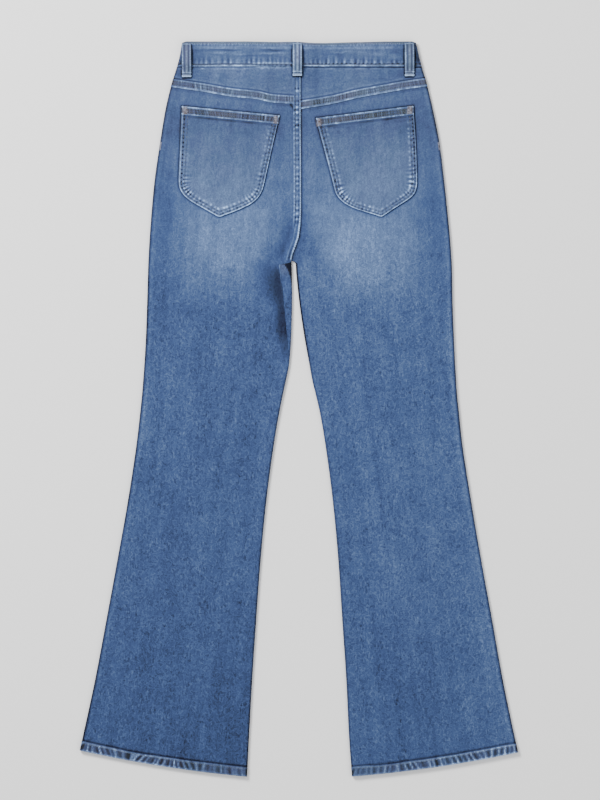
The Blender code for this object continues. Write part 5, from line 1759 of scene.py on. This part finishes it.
def addStitch(bag, a, b, names, way, radius, jump=1.4):  # none where the cloth jumps under it
    spots = []
    last = None
    for t, rise, size in threadLook["bend"]:
        x = mix(a[0], b[0], t)
        y = garment["halfLength"] - mix(a[1], b[1], t)
        z = seatHeight(names, x, y, way)
        if z is None or (last is not None and abs(z - last) > jump):
            return
        last = z
        spots.append((x, y, z + way * rise * radius, radius * size))
    dx, dy = b[0] - a[0], a[1] - b[1]
    length = math.hypot(dx, dy)
    dx, dy = dx / length, dy / length
    first = len(bag["verts"])
    for x, y, z, thick in spots:
        for k in range(6):
            angle = math.pi * k / 3.0
            off = thick * math.cos(angle)
            high = z + 0.8 * thick * math.sin(angle)
            bag["verts"].append(((x - dy * off) * mm, (y + dx * off) * mm, high * mm))
    for r in range(3):
        for k in range(6):
            n = (k + 1) % 6
            p, q = first + 6 * r, first + 6 * r + 6
            bag["faces"].append((p + n, p + k, q + k, q + n))
    bag["faces"].append(tuple(first + k for k in range(6)))
    bag["faces"].append(tuple(first + 18 + k for k in range(5, -1, -1)))


def resample(line, pitch):
    line = np.asarray(line, dtype=float)
    step = np.hypot(*(line[1:] - line[:-1]).T)
    along = np.concatenate(((0.0,), np.cumsum(step)))
    places = np.arange(0.0, along[-1], pitch)
    return lineOf(*(np.interp(places, along, line[:, k]) for k in range(2))), along


def sewLine(bag, line, names, way=1, pitch=None, skip=()):
    pitch = pitch or threadLook["pitch"]
    starts, along = resample(line, pitch)
    line = np.asarray(line, dtype=float)
    for k in range(len(starts)):
        place = k * pitch
        end = min(place + threadLook["length"] * pitch / threadLook["pitch"], along[-1])
        if end - place < 1.2:
            continue
        b = (np.interp(end, along, line[:, 0]), np.interp(end, along, line[:, 1]))
        a = starts[k]
        if any(low < a[0] < high for low, high in skip):
            continue
        addStitch(bag, a, b, names, way, threadLook["radius"])


def sewTack(bag, x, down, dx, dd, length, width, names, way=1, jump=1.4):  # dense bar of thread
    count = int(length / threadLook["tackPitch"])
    norm = math.hypot(dx, dd)
    dx, dd = dx / norm, dd / norm
    for k in range(count):
        along = (k + 0.5) * threadLook["tackPitch"] - 0.5 * length
        cx, cd = x + dx * along, down + dd * along
        lean = 0.3 * (1 if k % 2 else -1)
        a = (cx - dd * 0.5 * width - dx * lean, cd + dx * 0.5 * width - dd * lean)
        b = (cx + dd * 0.5 * width + dx * lean, cd - dx * 0.5 * width + dd * lean)
        addStitch(bag, a, b, names, way, threadLook["radius"] * 1.1, jump)


def offsetLine(line, distance):  # moved towards the left hand of its direction
    line = np.asarray(line, dtype=float)
    step = np.gradient(line, axis=0)
    step = step / np.maximum(np.hypot(step[:, 0], step[:, 1]), 1e-9)[:, None]
    return line + distance * np.stack((step[:, 1], -step[:, 0]), 1)


def threadPiece(name, bag, material):
    mesh = bpy.data.meshes.new(name)
    mesh.from_pydata(bag["verts"], [], bag["faces"])
    shadeSmooth(mesh)
    item = newItem(name, mesh)
    item.data.materials.append(material)
    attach(item, "root")


def newBag():
    return {"verts": [], "faces": []}


def sewBack():
    bag, tacks, dark, shadedRows = (newBag() for _ in range(4))
    for down, row in ((3.2, bag), (garment["bandHeight"] - 3.1, shadedRows)):
        xs = np.linspace(outerEdge(-1, down) + 4.0, outerEdge(1, down) - 4.0, 120)
        sewLine(row, lineOf(xs, down + 0.0 * xs), ["waistBand"])
    for side, name in ((-1, "yokeLeft"), (1, "yokeRight")):
        ends = (outerEdge(side, yokeEnds(side)[0]) - side * 4.0, -8.0 if side < 0 else 3.6)
        xs = np.linspace(ends[0], ends[1], 90)
        for off in yokeLook["rows"]:
            sewLine(shadedRows, lineOf(xs, yokeSeamDown(side, xs) - off), [name])
    downs = np.linspace(garment["bandHeight"] + 2.0, 316.0, 140)
    for off, end, row in ((1.0, 316.0, bag), (7.7, 258.0, shadedRows)):
        run = downs[downs < end]
        sewLine(row, lineOf(innerEdge(-1, run) - off, run), ["yokeLeft", "backLegLeft"])
    for side, name in ((-1, "backLegLeft"), (1, "backLegRight")):
        sewHem(shadedRows, side, name, 1)
    threadPiece("threadBack", bag, sewingThread)
    threadPiece("threadBackShaded", shadedRows, shadedThread)
    for side, name in ((-1, "backPocketLeft"), (1, "backPocketRight")):
        lines = pocketLines[side]
        way = 1.0 if side < 0 else -1.0
        rim = lines["rim"]
        place = np.concatenate(((0.0,), np.cumsum(np.hypot(*np.diff(rim, axis=0).T))))
        for column in (2, 4):
            line = offsetLine(rim, way * curve(pocketRows[side], place / place[-1], column)[:, None])
            keep = line[:, 1] > lines["top"][:, 1].min() + 15.0
            sewLine(dark, line[keep], [name], 1, pocketLook["dotPitch"])
        for off in pocketLook["hemRows"]:
            line = offsetLine(lines["top"], -way * off)
            sewLine(dark, line[6:-6], [name])
        cloth = [name, sided("backLeg", side)]
        for end, inward in ((0, -side), (-1, side)):
            x, down = lines["top"][end] + (inward * 4.9, 6.7)
            sewTack(tacks, x, down, 0.06 * inward, 1.0, 12.6, 8.8, cloth, jump=2.8)
    threadPiece("threadPockets", dark, shadedThread)
    for side, name in ((-1, "backLegLeft"), (1, "backLegRight")):
        low = outerEdge(side, 163.0)
        sewTack(tacks, low - side * 2.6, 157.0, low - outerEdge(side, 151.0), 12.0, 12.0, 2.2, [name])
    bag = newBag()
    for name, topX, lowX, width, topDown, lowDown in (entry[1:] for entry in backLoops):
        for share in (-0.4, 0.4):
            ends = ((topX + share * width, topDown + 2.6), (lowX + share * width, lowDown - 1.0))
            sewLine(bag, ends, [name])
        sewTack(bag, topX, topDown + 2.2, 1.0, 0.0, width - 2.0, 2.0, [name])
        sewTack(bag, lowX, lowDown - 3.0, 1.0, 0.0, width - 2.0, 2.0, [name])
    threadPiece("threadLoops", bag, sewingThread)
    threadPiece("threadTacks", tacks, tackThread)


def sewHem(bag, side, name, way):
    outerDown, innerDown = hemEnds(side)
    outerX, innerX = outerEdge(side, outerDown), innerEdge(side, innerDown)
    xs = np.linspace(outerX - side * 4.0, innerX + side * 4.0, 80)
    share = np.abs(xs - outerX) / abs(innerX - outerX)
    sewLine(bag, lineOf(xs, hemDown(side, share) - garment["hemHeight"] + 1.5), [name], way)


# the fly's curved seam: how far from the middle, down to the curve, the curve's height, rows
flyLook = {"reach": 38.0, "straightTo": 160.0, "curve": 50.0, "rows": (0.0, 6.0)}
# x across and down of the front's bar tacks
tackPlaces = {"mouth": (98.5, 50.5), "fly": (-6.0, 206.0)}


def sewFront():
    bag, tacks = newBag(), newBag()
    for off in (3.2, 34.0):
        for lowX, highX in ((-172.0, 2.0), (8.0, 172.0)):
            xs = np.linspace(lowX, highX, 90)
            sewLine(bag, lineOf(xs, off + dipOfFront(xs)), ["waistBand"], -1)
    endDowns = np.linspace(14.0, 42.0, 12)
    sewLine(bag, lineOf(1.0 + 0.0 * endDowns, endDowns), ["waistBand"], -1)
    for side, name in ((-1, "frontLegLeft"), (1, "frontLegRight")):
        for off in (1.8, 7.4):
            a = np.radians(np.linspace(11.0, 84.0, 60))
            x = side * (garment["mouthMiddle"] - (garment["mouthAcross"] + off) * np.cos(a))
            down = garment["bandHeight"] + (garment["mouthDeep"] + off) * np.sin(a)
            sewLine(bag, lineOf(x, down), [name], -1)
        sewHem(bag, side, name, -1)
        x, down = tackPlaces["mouth"]
        sewTack(tacks, side * x, down, 0.1, 1.0, 7.0, 2.0, [name], -1)
    for off in flyLook["rows"]:
        downs = np.linspace(48.0, flyLook["straightTo"], 60)
        a = np.radians(np.linspace(0.0, 88.0, 30))
        reach = flyLook["reach"] - off
        bentDowns = flyLook["straightTo"] + (flyLook["curve"] - off) * np.sin(a)
        bent = lineOf(-reach * np.cos(a), bentDowns)
        line = np.concatenate((lineOf(-reach + 0.0 * downs, downs), bent))
        sewLine(bag, line, ["frontLegLeft"], -1)
    downs = np.linspace(50.0, 315.0, 120)
    sewLine(bag, lineOf(frontInnerEdge(-1, downs) - 1.8, downs), ["frontLegLeft"], -1)
    sewTack(tacks, *tackPlaces["fly"], 0.4, 1.0, 8.0, 2.2, ["frontLegLeft"], -1)
    for side, name in ((-1, "beltLoopFrontLeft"), (1, "beltLoopFrontRight")):
        middle, start = frontLoopStart(side)
        for share in (-0.34, 0.34):
            x = middle + share * loopLook["frontWidth"]
            sewLine(bag, [(x, start + 1.0), (x, start + 50.0)], [name], -1)
        for down in (start + 2.2, start + 48.4):
            sewTack(tacks, middle, down, 1.0, 0.0, 12.0, 2.0, [name], -1)
    threadPiece("threadFront", bag, sewingThread)
    threadPiece("threadFrontTacks", tacks, tackThread)


for side in (-1, 1):
    makeFrontLeg(side)
    makeFacing(side)
    makePocket(side)
    makeBackLeg(side)
    makeYoke(side)
    makeFrontLoop(side)
print("panels made")
makeWaistband()
for entry in backLoops:
    makeBackLoop(entry)
makeButton()
print("waistband, loops and button made")
sewingThread = threadMaterial("sewingThread", threadLook["colour"], threadLook["pale"])
shadedThread = threadMaterial("shadedThread", threadLook["shadedColour"], threadLook["shadedPale"])
tackThread = threadMaterial("tackThread", threadLook["tackColour"], threadLook["tackPale"], 330.0)
sewBack()
sewFront()
print("sewing made")

studio = {
    "cameraX": 0.0015,
    "cameraY": 0.0135,
    "cameraHeight": 8.005,
    "lens": 240.0,
    "floorColour": (0.90, 0.90, 0.90),
    "floorHalf": 7.2,  # metres from the middle to its edge
    "floorHeight": -0.0005,  # just under the lowest thread
    "floorSquares": 24,
    # place, size, power
    "key": ((-1.9, 2.0, 2.3), 1.2, 215.0),
    "fill": ((2.2, -1.4, 2.6), 2.4, 48.0),
    "world": 0.68,
}


def makeFloor():
    count = studio["floorSquares"]
    half = studio["floorHalf"]
    step = 2.0 * half / count
    verts = [(-half + i * step, -half + j * step, studio["floorHeight"])
             for j in range(count + 1) for i in range(count + 1)]
    mesh = bpy.data.meshes.new("floor")
    index = np.arange((count + 1) ** 2).reshape(count + 1, count + 1)
    mesh.from_pydata(verts, [], quadsOf(index).tolist())
    item = newItem("floor", mesh)
    material, tree, shader = newMaterial("paleFloor")
    place = node(tree, "ShaderNodeTexCoord", -800, 0).outputs["Object"]
    grain = noiseNode(tree, place, (60.0, 2.0, 0.5), -600, 0)
    rough = mathNode(tree, "MULTIPLY", grain, 0.06, -400, 0)
    rough = mathNode(tree, "ADD", rough, 0.85, -240, 0)
    tree.links.new(rough, shader.inputs["Roughness"])
    shader.inputs["Base Color"].default_value = (*studio["floorColour"], 1.0)
    shader.inputs["Specular IOR Level"].default_value = 0.1
    item.data.materials.append(material)


def makeLight(name):  # a square light that points at the pair
    where, size, power = studio[name]
    data = bpy.data.lights.new(name, "AREA")
    data.shape = "SQUARE"
    data.size = size
    data.energy = power
    item = newItem(name, data)
    item.location = where
    item.rotation_euler = (-Vector(where)).to_track_quat("-Z", "Y").to_euler()


def makeStudio():
    makeFloor()
    makeLight("key")
    makeLight("fill")
    world = bpy.data.worlds.new("studio")
    world.use_nodes = True
    back = world.node_tree.nodes["Background"]
    back.inputs[0].default_value = (1.0, 1.0, 1.0, 1.0)
    back.inputs[1].default_value = studio["world"]
    bpy.context.scene.world = world
    data = bpy.data.cameras.new("camera")
    data.type = "PERSP"
    data.lens = studio["lens"]
    data.sensor_fit = "AUTO"
    data.clip_end = 20.0
    item = newItem("camera", data)
    item.location = (studio["cameraX"], studio["cameraY"], studio["cameraHeight"])
    bpy.context.scene.camera = item


makeStudio()
print("studio ready")
